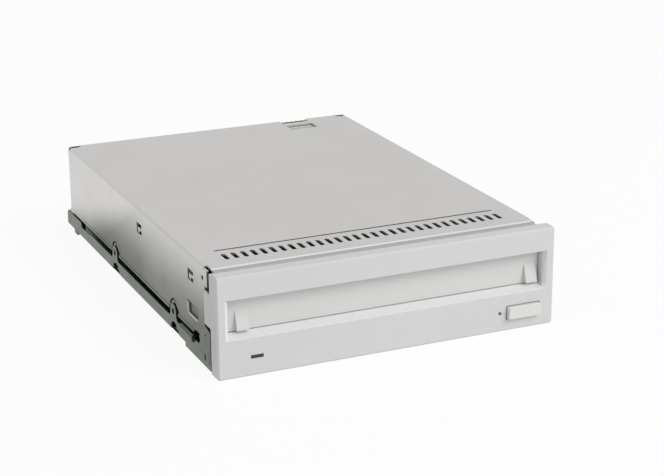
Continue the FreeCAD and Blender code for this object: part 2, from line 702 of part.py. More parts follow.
def slot_door():
    """Return the flap that closes the cartridge slot, with its knuckles and its two wedges."""
    y = span(DOOR_FRONT_Y, DOOR_THICKNESS)
    leaf = box((-DOOR_HALF_WIDTH, DOOR_HALF_WIDTH), y, (DOOR_BOTTOM_Z, DOOR_TOP_Z))
    pulls = (PULL_LEFT_INSET - DOOR_HALF_WIDTH, DOOR_HALF_WIDTH - PULL_RIGHT_INSET)
    pieces = [leaf] + [door_pull(left_x) for left_x in pulls]
    for middle in KNUCKLE_X:
        ends = around(middle, KNUCKLE_LENGTH)
        pieces.append(bar(KNUCKLE_RADIUS, (ends[0], HINGE_Y, HINGE_Z), (ends[1], HINGE_Y, HINGE_Z)))
        pieces.append(box(ends, y, (DOOR_TOP_Z - 1, HINGE_Z)))
    bore = rod(HINGE_PIN_RADIUS + 0.05, (-SIDE_X, HINGE_Y, HINGE_Z), (SIDE_X, HINGE_Y, HINGE_Z))
    return cut(fused(pieces), [bore])


def door_hinge_pin():
    """Return the steel pin that runs through the door's knuckles and the bezel's ears."""
    end_x = DOOR_HALF_WIDTH + DOOR_GAP + RECESS_WALL
    return rod(HINGE_PIN_RADIUS, (-end_x, HINGE_Y, HINGE_Z), (end_x, HINGE_Y, HINGE_Z))


def door_spring():
    """Return the sleeve of turns of the torsion spring that closes the door."""
    start = KNUCKLE_X[2] - KNUCKLE_LENGTH / 2 - 0.5 - SPRING_LENGTH
    bore, end = HINGE_PIN_RADIUS + 0.15, start + SPRING_LENGTH
    coil = tube(bore + SPRING_WIRE, bore, (start, HINGE_Y, HINGE_Z), (end, HINGE_Y, HINGE_Z))
    leg_y = span(HINGE_Y + bore, SPRING_WIRE)
    leg = box(span(start, SPRING_WIRE), leg_y, span(HINGE_Z, SPRING_LEG))
    return coil.fuse(leg).removeSplitter()


def eject_button():
    """Return the button's cap, its retaining flange and its stem."""
    cap = prism("y", (BUTTON_FRONT_Y, BEZEL_WALL + DOOR_GAP), rounded_rect(
        span(BUTTON_X, BUTTON_WIDTH), span(BUTTON_Z, BUTTON_HEIGHT), BUTTON_EDGE_RADIUS))
    cap = bevelled(cap, BUTTON_EDGE_RADIUS * 0.7, lambda c, e: near(c.y, BUTTON_FRONT_Y))
    grow = BUTTON_GAP + BUTTON_FLANGE
    flange = box((BUTTON_X - grow, BUTTON_X + BUTTON_WIDTH + grow), span(BEZEL_WALL + DOOR_GAP, 1.0),
                 (BUTTON_Z - grow + 0.6, BUTTON_Z + BUTTON_HEIGHT + grow - 0.6))
    x, z = BUTTON_MIDDLE
    stem = bar(STEM_RADIUS, (x, BEZEL_WALL, z), (x, SWITCH_FRONT_Y + 0.1, z))
    return fused([cap, flange, stem])


def button_spring():
    """Return the sleeve of turns of the spring between the button's flange and the switch."""
    x, z = BUTTON_MIDDLE
    bore = STEM_RADIUS + 0.6
    return tube(bore + SPRING_WIRE, bore, (x, BEZEL_WALL + DOOR_GAP + 1.0, z), (x, SWITCH_FRONT_Y, z))


def eject_switch():
    """Return the switch that the button's stem runs into."""
    x, z = BUTTON_MIDDLE
    body = box(around(x, SWITCH_SIZE), (SWITCH_FRONT_Y, FRONT_BOARD_Y), around(z, SWITCH_SIZE))
    return body.cut(bar(STEM_RADIUS + STEM_CLEARANCE, (x, SWITCH_FRONT_Y - 1, z), (x, FRONT_BOARD_Y + 1, z)))


def front_board():
    """Return the narrow circuit board behind the bezel."""
    z = span(FRONT_BOARD_BOTTOM_Z, FRONT_BOARD_HEIGHT)
    return box((LENS_X - 4, BUTTON_X + BUTTON_WIDTH + 2), span(FRONT_BOARD_Y, FRONT_BOARD_THICKNESS), z)


def activity_lens():
    """Return the smoked light pipe that fills the indicator's window."""
    return box(span(LENS_X, LENS_WIDTH), (LENS_INSET, BEZEL_WALL + 1.2), span(LENS_Z, LENS_HEIGHT))


def activity_led():
    """Return the lamp on the front board behind the light pipe."""
    x, z = LENS_X + LENS_WIDTH / 2, LENS_Z + LENS_HEIGHT / 2
    front = BEZEL_WALL + 1.2 + DOOR_GAP
    dome = bar(1.0, (x, front, z), (x, FRONT_BOARD_Y - 1.6, z))
    return fused([dome, box(around(x, 3.0), (FRONT_BOARD_Y - 1.6, FRONT_BOARD_Y), around(z, 2.6))])


def pan_section():
    """Return the outline of the chassis pan across the drive: a plate folded up at both sides."""
    r, top = FOLD_RADIUS, CORNER_PLATE_Z + 1
    k, x, z = r * (1 - math.sqrt(0.5)), SIDE_X, PLATE_BOTTOM_Z
    inner, ki = x - STEEL, (r - STEEL) * (1 - math.sqrt(0.5))
    s = r - STEEL
    return [
        (-x + r, z), (x - r, z), ((x - k, z + k), (x, z + r)), (x, top), (inner, top),
        (inner, PLATE_TOP_Z + s), ((inner - ki, PLATE_TOP_Z + ki), (inner - s, PLATE_TOP_Z)),
        (-inner + s, PLATE_TOP_Z), ((-inner + ki, PLATE_TOP_Z + ki), (-inner, PLATE_TOP_Z + s)),
        (-inner, top), (-x, top), (-x, z + r), ((-x + k, z + k), (-x + r, z)),
    ]


def rail_side():
    """Return the outline of a chassis side seen from beside: rail, ears, arches and end plates."""
    rise_z = COVER_BOTTOM_Z - REAR_RISE_GAP
    steps = [
        (CHASSIS_FRONT_Y, PLATE_BOTTOM_Z), (REAR_Y, PLATE_BOTTOM_Z), (REAR_Y, rise_z - REAR_RISE_CORNER),
        (REAR_Y - REAR_RISE_CORNER, rise_z), (REAR_RISE_Y, rise_z),
        (REAR_RISE_Y - 1, RAIL_TOP_Z - NOTCH_DROP), (NOTCH_Y, RAIL_TOP_Z - NOTCH_DROP),
        (NOTCH_Y - 1, RAIL_TOP_Z),
    ]
    for middle in (SIDE_HOLE_Y + HOLE_PITCH_Y, SIDE_HOLE_Y):
        r, flare = EAR_RADIUS, 1.2
        steps += [
            (middle + r + flare, RAIL_TOP_Z), (middle + r, RAIL_TOP_Z + flare), (middle + r, SIDE_HOLE_Z),
            ((middle, SIDE_HOLE_Z + r), (middle - r, SIDE_HOLE_Z)),
            (middle - r, RAIL_TOP_Z + flare), (middle - r - flare, RAIL_TOP_Z)]
    steps += [
        (RELIEF_Y + RELIEF_REACH, RAIL_TOP_Z), (RELIEF_Y - RELIEF_REACH, RELIEF_Z),
        (CORNER_PLATE_Y, CORNER_PLATE_Z), (CHASSIS_FRONT_Y, CORNER_PLATE_Z - 1.6)]
    return steps


def front_wall():
    """Return the chassis's folded-up front wall with its openings for the button, lamp and clip."""
    wall = box((-SIDE_X + FOLD_RADIUS, SIDE_X - FOLD_RADIUS), span(CHASSIS_FRONT_Y, STEEL),
               (PLATE_BOTTOM_Z, FRONT_WALL_TOP_Z))
    y, z, reach = (CHASSIS_FRONT_Y - 1, CHASSIS_FRONT_Y + 3), FRONT_SLOT_Z, FRONT_SLOT_REACH
    return wall.cut([slot("y", y, (x - reach, z), (x + reach, z), FRONT_SLOT_WIDTH) for x in FRONT_SLOT_X])


def chassis():
    """Return the folded steel pan that carries everything else."""
    pan = prism("y", (CHASSIS_FRONT_Y, REAR_Y), pan_section())
    side = prism("x", (-SIDE_X - 1, SIDE_X + 1), rail_side())
    floor = box((-SIDE_X + FOLD_RADIUS, SIDE_X - FOLD_RADIUS), (CHASSIS_FRONT_Y, REAR_Y), (0, PLATE_TOP_Z))
    pieces = [pan.common(side.fuse(floor)), front_wall()]
    for x in ((SIDE_X - STEEL, SIDE_X), (-SIDE_X, -SIDE_X + STEEL)):
        pieces.append(box(x, (CHASSIS_FRONT_Y, FRONT_FOOT_END_Y), (0, PLATE_TOP_Z + 1)))
        pieces.append(box(x, span(REAR_FOOT_Y, REAR_FOOT_LENGTH), (0, PLATE_TOP_Z + 1)))
    bead_x, bead_z, inner_x = SIDE_X + BEAD_PROUD - BEAD_RADIUS, RAIL_TOP_Z + BEAD_RISE, SIDE_X - STEEL
    hollow_z = (bead_z - 2 * BEAD_RADIUS, bead_z + 2 * BEAD_RADIUS)
    hollow = box((-inner_x, inner_x), (BEAD_START_Y - 1, BEAD_END_Y + 1), hollow_z)
    for x in (bead_x, -bead_x):
        pieces.append(bar(BEAD_RADIUS, (x, BEAD_START_Y, bead_z), (x, BEAD_END_Y, bead_z)).cut(hollow))
    for x in (-BOTTOM_HOLE_PITCH_X / 2, BOTTOM_HOLE_PITCH_X / 2):
        for y in (SIDE_HOLE_Y, SIDE_HOLE_Y + HOLE_PITCH_Y):
            pieces.append(bar(MOUNT_HOLE_RADIUS + 0.8, (x, y, PLATE_BOTTOM_Z), (x, y, PLATE_TOP_Z + 1.2)))
    pieces += [bar(DAMPER_STUD_RADIUS, (x, y, PLATE_BOTTOM_Z), (x, y, z)) for x, y, z in damper_stud_tops()]
    for x, y in board_screw_places():
        pieces.append(bar(STANDOFF_RADIUS, (x, y, PLATE_BOTTOM_Z), (x, y, BOARD_BOTTOM_Z)))
    return cut(fused(pieces), chassis_cuts())


def relief_slot():
    """Return the cutter of the long relief between the chassis's corner plate and the cover."""
    front, back = (RELIEF_Y - RELIEF_REACH, RELIEF_Z), (RELIEF_Y + RELIEF_REACH, RELIEF_Z)
    return slot("x", (-SIDE_X - 1, SIDE_X + 1), front, back, 2 * RELIEF_RADIUS)


def chassis_cuts():
    """Return what is punched out of the pan: mounting holes, arches, slots and floor openings."""
    tools = [relief_slot()]
    for y in (SIDE_HOLE_Y, SIDE_HOLE_Y + HOLE_PITCH_Y):
        tools.append(rod(MOUNT_HOLE_RADIUS, (-SIDE_X - 1, y, SIDE_HOLE_Z), (SIDE_X + 1, y, SIDE_HOLE_Z)))
        arch_y = y - ARCH_FORWARD
        arch = bar(ARCH_RADIUS, (SIDE_X - STEEL - 0.6, arch_y, 0), (SIDE_X + 1, arch_y, 0), WHEEL_FLATS)
        below = box((0, SIDE_X + 2), around(arch_y, 3 * ARCH_RADIUS), (-2 * ARCH_RADIUS, ARCH_SILL_Z))
        tools += both_sides(arch.cut(below))
        for x in (-BOTTOM_HOLE_PITCH_X / 2, BOTTOM_HOLE_PITCH_X / 2):
            tools.append(rod(MOUNT_HOLE_RADIUS, (x, y, -1), (x, y, PLATE_TOP_Z + 2)))
    for x in (SIDE_X - STEEL - 1, -SIDE_X - 1):
        tools.append(bar(0.5, (x, CORNER_PLATE_Y - 0.9, 13.4), (x + 3, CORNER_PLATE_Y - 0.9, 13.4)))
        tools.append(slot("x", (x, x + 3), (CORNER_PLATE_Y, 3.0), (CORNER_PLATE_Y, 4.6), 1.2))
        tools.append(box((x, x + 3), span(CHASSIS_FRONT_Y + STEEL + 0.5, 0.4), (2.0, 8.1)))
    reach, floor = FLOOR_OPENING_REACH, (-1, PLATE_TOP_Z + 1)
    for y in FLOOR_OPENING_Y:
        for x in FLOOR_OPENING_X:
            tools.append(slot("z", floor, (x - reach, y), (x + reach, y), FLOOR_OPENING_WIDTH))
    return tools


def cover_section():
    """Return the outline of the cover across the drive: a sheet folded down at both sides, with a lip."""
    x, z, r, t = COVER_X, COVER_TOP_Z, FOLD_RADIUS, COVER_SHEET
    k, s = r * (1 - math.sqrt(0.5)), r - t
    ki, low, lip = s * (1 - math.sqrt(0.5)), COVER_BOTTOM_Z, COVER_LIP
    half = [
        (x - r, z), ((x - k, z - k), (x, z - r)), (x, low + 1.2), (x + lip, low + 0.8), (x + lip, low),
        (x - t, low), (x - t, z - r), ((x - t - ki, z - t - ki), (x - r, z - t))]
    other = [
        (-x + r, z - t), ((-x + t + ki, z - t - ki), (-x + t, z - r)), (-x + t, low), (-x - lip, low),
        (-x - lip, low + 0.8), (-x, low + 1.2), (-x, z - r), ((-x + k, z - k), (-x + r, z))]
    return half + other


def cover_side_cutter():
    """Return the outline, from beside, of what is taken off the cover's lower front corner."""
    gap, far = 0.4, -5
    return [
        (far, far), (RELIEF_Y + RELIEF_REACH, far), (RELIEF_Y + RELIEF_REACH, RELIEF_Z),
        (RELIEF_Y - RELIEF_REACH + gap, RELIEF_Z + 2 * gap),
        (CORNER_PLATE_Y + gap, CORNER_PLATE_Z + 2 * gap), (far, CORNER_PLATE_Z + 2 * gap)]


def cover_cuts():
    """Return what is cut out of the cover: arches, corners, vents, windows and the lances' slots."""
    wide, tall = (-SIDE_X - 1, SIDE_X + 1), (COVER_INNER_Z - 1, COVER_TOP_Z + 1)
    tools = [prism("x", wide, cover_side_cutter()), relief_slot()]
    for y in (SIDE_HOLE_Y, SIDE_HOLE_Y + HOLE_PITCH_Y):
        reach = EAR_RADIUS + ARCH_GAP
        tools.append(bar(reach, (wide[0], y, SIDE_HOLE_Z), (wide[1], y, SIDE_HOLE_Z), WHEEL_FLATS))
        tools.append(box(wide, around(y, 2 * reach), (COVER_BOTTOM_Z - 1, SIDE_HOLE_Z)))
    corner = (CORNER_NOTCH_X, SIDE_X + CORNER_NOTCH_X)
    tools += both_sides(box(corner, (0, CORNER_NOTCH_Y), (COVER_TOP_Z - CORNER_NOTCH_DROP, COVER_TOP_Z + 1)))
    tools += both_sides(box(corner, (0, COVER_SIDE_FRONT_Y), (0, COVER_TAB_BOTTOM_Z)))
    tools.append(box(wide, span(CORNER_SLOT_Y, CORNER_SLOT_WIDTH), CORNER_SLOT_Z))
    first = -(VENT_COUNT - 1) / 2 * VENT_PITCH
    reach = (VENT_LENGTH - VENT_WIDTH) / 2
    for i in range(VENT_COUNT):
        x = first + i * VENT_PITCH
        tools.append(slot("z", tall, (x, VENT_Y - reach), (x, VENT_Y + reach), VENT_WIDTH))
    slit_x = COVER_X - SLIT_INSET
    tools.append(slot("z", tall, (-slit_x, SLIT_Y), (slit_x, SLIT_Y), SLIT_WIDTH))
    tools.append(prism("z", tall, rounded_rect(REAR_WINDOW_X, REAR_WINDOW_Y, 0.6)))
    rear, over = COVER_REAR_Y, COVER_TOP_Z + 1
    notch_y, notch_z = (rear - REAR_NOTCH_LENGTH, rear + 1), (COVER_TOP_Z - REAR_NOTCH_DROP, over)
    tools.append(box(REAR_WINDOW_X, notch_y, notch_z))
    relief_x = COVER_X - CORNER_RELIEF_INSET
    relief = bar(CORNER_RELIEF_RADIUS, (relief_x, rear, tall[0]), (relief_x, rear, over))
    tools += both_sides(relief.cut(box(wide, (rear - COVER_SHEET, rear + COVER_TOP_Z), (0, over + 1))))
    tools.append(prism("x", wide, rounded_rect(SIDE_WINDOW_Y, SIDE_WINDOW_Z, 1.0)))
    for y, z in LANCES:
        back = y + LANCE_LENGTH - LANCE_REAR_SLOT
        tools.append(box(wide, span(back, LANCE_REAR_SLOT), span(z, LANCE_HEIGHT)))
        tools.append(box(wide, span(y, LANCE_LENGTH), span(z + LANCE_HEIGHT - LANCE_SLOT, LANCE_SLOT)))
        tools.append(box(wide, (y + LANCE_FOOT - 0.1, back + 0.1), span(z, LANCE_FOOT_SLOT)))
        tools.append(box(wide, span(y, LANCE_FOOT), span(z, LANCE_SLOT)))
    return tools


def cover_joggle():
    """Return the stepped-down lip of the cover between its front edge and the bezel."""
    low = COVER_TOP_Z - JOGGLE_DROP
    t = COVER_SHEET
    half = CORNER_NOTCH_X
    return prism("x", (-half, half), [
        (COVER_FRONT_Y + 1, COVER_TOP_Z), (COVER_FRONT_Y, COVER_TOP_Z), (COVER_FRONT_Y - JOGGLE_DROP, low),
        (JOGGLE_FRONT_Y, low), (JOGGLE_FRONT_Y, low - t), (COVER_FRONT_Y - JOGGLE_DROP + 0.3, low - t),
        (COVER_FRONT_Y + 0.3, COVER_INNER_Z), (COVER_FRONT_Y + 1, COVER_INNER_Z)])


def top_cover():
    """Return the folded steel cover."""
    sheet = prism("y", (COVER_TAB_FRONT_Y, COVER_REAR_Y), cover_section())
    front = box((-CORNER_NOTCH_X, CORNER_NOTCH_X), (0, COVER_FRONT_Y), (0, COVER_TOP_Z + 1))
    rear = box((-COVER_X + FOLD_RADIUS, COVER_X - FOLD_RADIUS), (COVER_REAR_Y - COVER_SHEET, COVER_REAR_Y),
               (REAR_FLANGE_BOTTOM_Z, COVER_TOP_Z - 0.1))
    body = fused([sheet.cut(front), rear, cover_joggle()])
    return cut(body, cover_cuts() + both_sides(cover_screw_hole()))


def damper_stud_tops():
    """Return the place and the top of each stud that carries a rubber damper."""
    front_top = DECK_TOP_Z - DECK_DROP + DAMPER_FLANGE
    rear_top = DECK_TOP_Z + DAMPER_FLANGE
    places = [(DAMPER_FRONT, front_top), (DAMPER_REAR, rear_top)]
    return [(side * x, y, top) for (x, y), top in places for side in (-1, 1)]


def board_screw_places():
    """Return where the control board is screwed down."""
    return [(side * BOARD_SCREW_X, y) for y in BOARD_SCREW_Y for side in (-1, 1)]


def base_deck():
    """Return the die-cast deck: a plate stepped down in front, with ribs, bores and the head's window."""
    low, high, drop, step = DECK_Z, DECK_TOP_Z, DECK_DROP, DECK_STEP_Y
    window_x = (-HEAD_WINDOW_HALF_WIDTH, HEAD_WINDOW_HALF_WIDTH)
    plate_steps = [
        (DECK_Y[0], low - drop), (step + DECK_THICKNESS, low - drop), (step + DECK_THICKNESS, low),
        (DECK_Y[1], low),
        (DECK_Y[1], high), (step, high), (step, high - drop), (DECK_Y[0], high - drop)]
    plate = prism("x", (-GUIDE_X, GUIDE_X), plate_steps)
    ends = DECK_END_HALF_WIDTH
    trims = [box(x, y, (0, high + 1)) for y in ((DECK_Y[0] - 1, GUIDE_Y[0]), (GUIDE_Y[1], DECK_Y[1] + 1))
             for x in ((-SIDE_X - ends, -ends), (ends, SIDE_X + ends))]
    rib_z = (low - DECK_RIB_DROP, low)
    ribs = both_sides(box(span(window_x[1], DECK_RIB), (step, DECK_Y[1] - 12), rib_z))
    ribs.append(box(window_x, span(step + DECK_THICKNESS, DECK_RIB), rib_z))
    window = box(window_x, HEAD_WINDOW_Y, (0, high + 1))
    optics = box((-OPTICS_HALF_WIDTH, OPTICS_HALF_WIDTH), OPTICS_Y, (0, high + 1))
    bore = bar(SPINDLE_BORE_RADIUS, (0, SPINDLE_Y, 0), (0, SPINDLE_Y, high + 1), WHEEL_FLATS)
    cuts = trims + [window, optics, bore]
    for x, y, _ in damper_stud_tops():
        cuts.append(bar(DAMPER_NECK_RADIUS, (x, y, 0), (x, y, high + 1)))
    return cut(fused([plate] + ribs), cuts)


def rubber_dampers():
    """Return the four grommets that hang the deck on the chassis's studs."""
    grommets = []
    for x, y, top in damper_stud_tops():
        deck_top = top - DAMPER_FLANGE
        low = deck_top - DECK_THICKNESS - DAMPER_FLANGE
        pieces = [bar(DAMPER_RADIUS, (x, y, low), (x, y, low + DAMPER_FLANGE)),
                  bar(DAMPER_NECK_RADIUS, (x, y, low), (x, y, top)),
                  bar(DAMPER_RADIUS, (x, y, deck_top), (x, y, top))]
        bore = bar(DAMPER_STUD_RADIUS, (x, y, low - 1), (x, y, top + 1))
        grommets.append(cut(fused(pieces), [bore]))
    return grommets


def damper_screws():
    """Return the flat-headed screws that hold the dampers down."""
    screws = []
    for x, y, top in damper_stud_tops():
        head = bar(DAMPER_SCREW_RADIUS, (x, y, top), (x, y, top + DAMPER_SCREW_HEAD))
        screws.append(head.cut(slot("z", (top + 0.6, top + 3), (x - 1, y), (x + 1, y), 0.8)))
    return screws


def spindle_motor_base():
    """Return the motor's mounting plate with the bearing sleeve that stands on it."""
    low = DECK_Z - SPINDLE_PLATE
    plate = bar(SPINDLE_PLATE_RADIUS, (0, SPINDLE_Y, low), (0, SPINDLE_Y, DECK_Z), WHEEL_FLATS)
    sleeve = bar(SPINDLE_SLEEVE_RADIUS, (0, SPINDLE_Y, low), (0, SPINDLE_Y, ROTOR_TOP_Z - 1.8))
    bore = SPINDLE_SHAFT_RADIUS + SPINDLE_CLEARANCE
    return cut(fused([plate, sleeve]), [rod(bore, (0, SPINDLE_Y, low + 0.6), (0, SPINDLE_Y, ROTOR_TOP_Z))])


def stator_coils():
    """Return the stator's ring of wound teeth inside the rotor cup."""
    inner, outer = SPINDLE_SLEEVE_RADIUS, ROTOR_RADIUS - 1.6
    low, high = DECK_Z + 0.6, ROTOR_TOP_Z - 2.2
    ring = tube(inner + 1.4, inner, (0, SPINDLE_Y, low), (0, SPINDLE_Y, high))
    teeth = [ring]
    for i in range(9):
        tooth = box((inner + 1.0, outer), (-1.2, 1.2), (low, high))
        tooth.rotate(V(0, 0, 0), V(0, 0, 1), i * 40.0)
        tooth.translate(V(0, SPINDLE_Y, 0))
        teeth.append(tooth)
    return fused(teeth)


def turntable():
    """Return the rotor cup whose top is the turntable, with its shaft and its centring cone."""
    x, y, top = 0, SPINDLE_Y, ROTOR_TOP_Z
    cup = bar(ROTOR_RADIUS, (x, y, DECK_Z + 0.9), (x, y, top), WHEEL_FLATS)
    hollow = bar(ROTOR_RADIUS - 1.0, (x, y, DECK_Z), (x, y, top - 1.5), WHEEL_FLATS)
    shaft = rod(SPINDLE_SHAFT_RADIUS, (x, y, DECK_Z - SPINDLE_PLATE + 0.7), (x, y, top))
    cone = taper(HUB_CONE_RADIUS, HUB_CONE_RADIUS * 0.7, (x, y), span(top, HUB_CONE_HEIGHT))
    outer = ROTOR_RADIUS - CLAMP_MAGNET_INSET
    floor = top - CLAMP_MAGNET_GROOVE
    groove = tube(outer, outer - CLAMP_MAGNET_WIDTH, (x, y, floor), (x, y, top + 1), WHEEL_FLATS)
    return fused([cup.cut(hollow).cut(groove), shaft, cone])


def hub_magnet():
    """Return the ring magnet in the turntable that holds the disc's hub."""
    outer, foot = ROTOR_RADIUS - CLAMP_MAGNET_INSET, ROTOR_TOP_Z - CLAMP_MAGNET_GROOVE
    ends = ((0, SPINDLE_Y, foot), (0, SPINDLE_Y, foot + 0.6))
    return tube(outer, outer - CLAMP_MAGNET_WIDTH, *ends, WHEEL_FLATS)


def guide_rods():
    """Return the two ground rods that the optical carriage runs on."""
    y = (HEAD_WINDOW_Y[0] - RAIL_CLAMP_LENGTH, HEAD_WINDOW_Y[1] + RAIL_CLAMP_LENGTH)
    return both_sides(rod(RAIL_ROD_RADIUS, (RAIL_ROD_X, y[0], RAIL_ROD_Z), (RAIL_ROD_X, y[1], RAIL_ROD_Z)))


def rod_clamps():
    """Return the four blocks under the deck that hold the rods' ends."""
    clamps, x, z = [], RAIL_ROD_X, RAIL_ROD_Z
    for start in (HEAD_WINDOW_Y[0] - RAIL_CLAMP_LENGTH, HEAD_WINDOW_Y[1]):
        y = span(start, RAIL_CLAMP_LENGTH)
        block = box(around(x, RAIL_CLAMP), y, (z - RAIL_ROD_RADIUS - 0.5, DECK_Z))
        clamps += both_sides(block.cut(bar(RAIL_ROD_RADIUS, (x, y[0] - 1, z), (x, y[1] + 1, z))))
    return clamps


def optical_carriage():
    """Return the moving carriage with its bushed bores, mirror pocket and arms to the coils."""
    y = around(CARRIAGE_Y, CARRIAGE_LENGTH)
    body = box((-CARRIAGE_HALF_WIDTH, CARRIAGE_HALF_WIDTH), y, (CARRIAGE_BOTTOM_Z, CARRIAGE_TOP_Z))
    low, top = CARRIAGE_BOTTOM_Z, CARRIAGE_TOP_Z
    arms = box((-COIL_X[0], COIL_X[0]), around(CARRIAGE_Y, 8.0), (low + 0.6, top - 0.8))
    r, x, z = RAIL_ROD_RADIUS + RAIL_ROD_CLEARANCE, RAIL_ROD_X, RAIL_ROD_Z
    through = (y[0] - 1, y[1] + 1)
    bore = rod(r, (-x, through[0], z), (-x, through[1], z))
    fork = slot("y", through, (x - FORK_PLAY, z), (x + FORK_PLAY, z), 2 * r)
    beam = bar(MIRROR_HALF, (0, CARRIAGE_Y, LASER_Z), (0, y[1] + 1, LASER_Z))
    pocket = MIRROR_HALF + 0.3
    seat = box((-pocket, pocket), around(CARRIAGE_Y, 2 * pocket), (LASER_Z - MIRROR_HALF, top + 1))
    well = bar(LENS_HOLDER_RADIUS + 0.9, (0, CARRIAGE_Y, top - 1.4), (0, CARRIAGE_Y, top + 1))
    waist = both_sides(box((8.0, 14.0), around(CARRIAGE_Y, 6.0), (top - 1.2, top + 1)))
    return cut(fused([body, arms]), [bore, fork, beam, seat, well] + waist)


def carriage_coils():
    """Return the two flat-wound coils that drive the carriage."""
    y, t = around(CARRIAGE_Y, COIL_LENGTH), COIL_WALL
    outer = box(COIL_X, y, COIL_Z)
    hole = box((COIL_X[0] + t, COIL_X[1] - t), (y[0] - 1, y[1] + 1), (COIL_Z[0] + t, COIL_Z[1] - t))
    outer = bevelled(outer, 0.8, lambda c, e: near(e.Length, COIL_LENGTH))
    return both_sides(outer.cut(hole))


def coil_yokes():
    """Return the two steel yokes: a bar through the coil, joined to an outer plate at both ends."""
    y = (HEAD_WINDOW_Y[0] + 0.5, HEAD_WINDOW_Y[1] - 0.5)
    z = (COIL_Z[0] + 0.4, COIL_Z[1] - 0.4)
    inner = COIL_WALL + COIL_GAP
    bar_x = (COIL_X[0] + inner, COIL_X[1] - inner)
    bar = box(bar_x, y, (COIL_Z[0] + inner, COIL_Z[1] - inner))
    plate = box((MAGNET_X[1], HEAD_WINDOW_HALF_WIDTH), y, z)
    cap_x = (bar_x[0], HEAD_WINDOW_HALF_WIDTH)
    caps = [box(cap_x, span(start, 2.0), z) for start in (y[0], y[1] - 2.0)]
    return both_sides(fused([bar, plate] + caps))


def coil_magnets():
    """Return the long magnets on the inner faces of the yokes' plates."""
    y = (HEAD_WINDOW_Y[0] + 3.0, HEAD_WINDOW_Y[1] - 3.0)
    return both_sides(box(MAGNET_X, y, (COIL_Z[0] + 0.8, COIL_Z[1] - 0.8)))


def turning_mirror():
    """Return the prism that turns the laser beam up into the lens."""
    r, land = MIRROR_HALF, 0.2
    return prism("x", (-r, r), [
        (CARRIAGE_Y - r, LASER_Z - r), (CARRIAGE_Y + r, LASER_Z - r), (CARRIAGE_Y + r, LASER_Z - r + land),
        (CARRIAGE_Y - r + land, LASER_Z + r - 0.2), (CARRIAGE_Y - r, LASER_Z + r - 0.2)])


def lens_holder():
    """Return the ring that carries the lens, with its four suspension wires' lugs."""
    y, top = CARRIAGE_Y, LENS_TOP_Z - 0.3
    ring = tube(LENS_HOLDER_RADIUS, LENS_RADIUS, (0, y, CARRIAGE_TOP_Z - 0.9), (0, y, top))
    lugs = both_sides(box((3.6, 6.0), around(y, 2.0), span(CARRIAGE_TOP_Z + 0.6, 0.8)))
    return cut(fused([ring] + lugs), [bar(LENS_RADIUS, (0, y, 0), (0, y, top + 1))])


def taper(radius, top_radius, centre, z, sides=12):
    """Return an upright frustum of many flats between two radii."""
    rings = []
    for size, level in ((radius, z[0]), (top_radius, z[1])):
        angles = [2 * math.pi * (i + 0.5) / sides for i in range(sides)]
        reach = size / math.cos(math.pi / sides)
        corners = [V(centre[0] + reach * math.cos(a), centre[1] + reach * math.sin(a), level) for a in angles]
        rings.append(Part.makePolygon(corners + corners[:1]))
    return Part.makeLoft(rings, True, True)


def objective_lens():
    """Return the lens: a drum with a dome drawn by two tapers."""
    centre, top, r = (0, CARRIAGE_Y), LENS_TOP_Z, LENS_RADIUS
    shoulder, crown = top - 0.7, top - 0.2
    drum = bar(r, (*centre, CARRIAGE_TOP_Z + 0.2), (*centre, shoulder))
    dome = taper(r, 0.66 * r, centre, (shoulder, crown))
    return fused([drum, dome, taper(0.66 * r, 0.2 * r, centre, (crown, top))])


def fixed_optics():
    """Return the laser and detector block at the back of the deck, hung by its flange."""
    half, y = OPTICS_HALF_WIDTH, OPTICS_Y
    body = box((-half + 0.3, half - 0.3), (y[0] + 0.3, y[1] - 0.3), (BOARD_TOP_Z + 1.0, OPTICS_TOP_Z))
    flange = box((-half - 3, half + 3), (y[0] - 1.5, y[1] + 2), span(DECK_TOP_Z, OPTICS_FLANGE))
    barrel_z = DECK_TOP_Z + OPTICS_FLANGE + OPTICS_BARREL_RADIUS
    barrel = bar(OPTICS_BARREL_RADIUS, (half - 1, y[0] + 8, barrel_z), (half + 7, y[0] + 8, barrel_z))
    beam = bar(2.0, (0, y[0] - 3, LASER_Z), (0, y[0] + 10, LASER_Z))
    corner = box((-half - 1, -half + 9), (y[0] + 9, y[1] + 1), (DECK_TOP_Z + OPTICS_FLANGE, OPTICS_TOP_Z + 1))
    return cut(fused([body.cut(corner), flange, barrel]), [beam])


def optics_lid():
    """Return the thin plate that closes the optics block."""
    half, y = OPTICS_HALF_WIDTH, OPTICS_Y
    lid = box((-half + 9.4, half - 0.6), (y[0] + 0.6, y[1] - 0.6), span(OPTICS_TOP_Z, 0.8))
    return bevelled(lid, 1.0, lambda c, e: near(e.Length, 0.8))


def lift_guides():
    """Return the two upright plates whose slots let the holder's pins only rise and fall."""
    side = box((GUIDE_X, GUIDE_OUTER_X), GUIDE_Y, (DECK_Z, GUIDE_TOP_Z))
    through, play = (GUIDE_X - 1, GUIDE_OUTER_X + 1), 2 * (PIN_RADIUS + PIN_CLEARANCE)
    cuts = [slot("x", through, (y, PIN_Z - LOWERING), (y, PIN_Z), play) for y in PIN_Y]
    window = (GUIDE_Y[0] + GUIDE_WINDOW_INSET, GUIDE_Y[1] - GUIDE_WINDOW_INSET)
    cuts.append(prism("x", through, rounded_rect(window, GUIDE_WINDOW_Z, WINDOW_CORNER)))
    for y in STUD_Y:
        cuts.append(bar(PIN_RADIUS, (GUIDE_X - 1, y, STUD_Z), (SLIDER_X, y, STUD_Z)))
    return both_sides(cut(side, cuts))


def guide_studs():
    """Return the studs on the lift guides that the slider runs on."""
    studs = []
    for y in STUD_Y:
        studs += both_sides(bar(PIN_RADIUS, (GUIDE_X, y, STUD_Z), (PIN_END_X, y, STUD_Z)))
    return studs


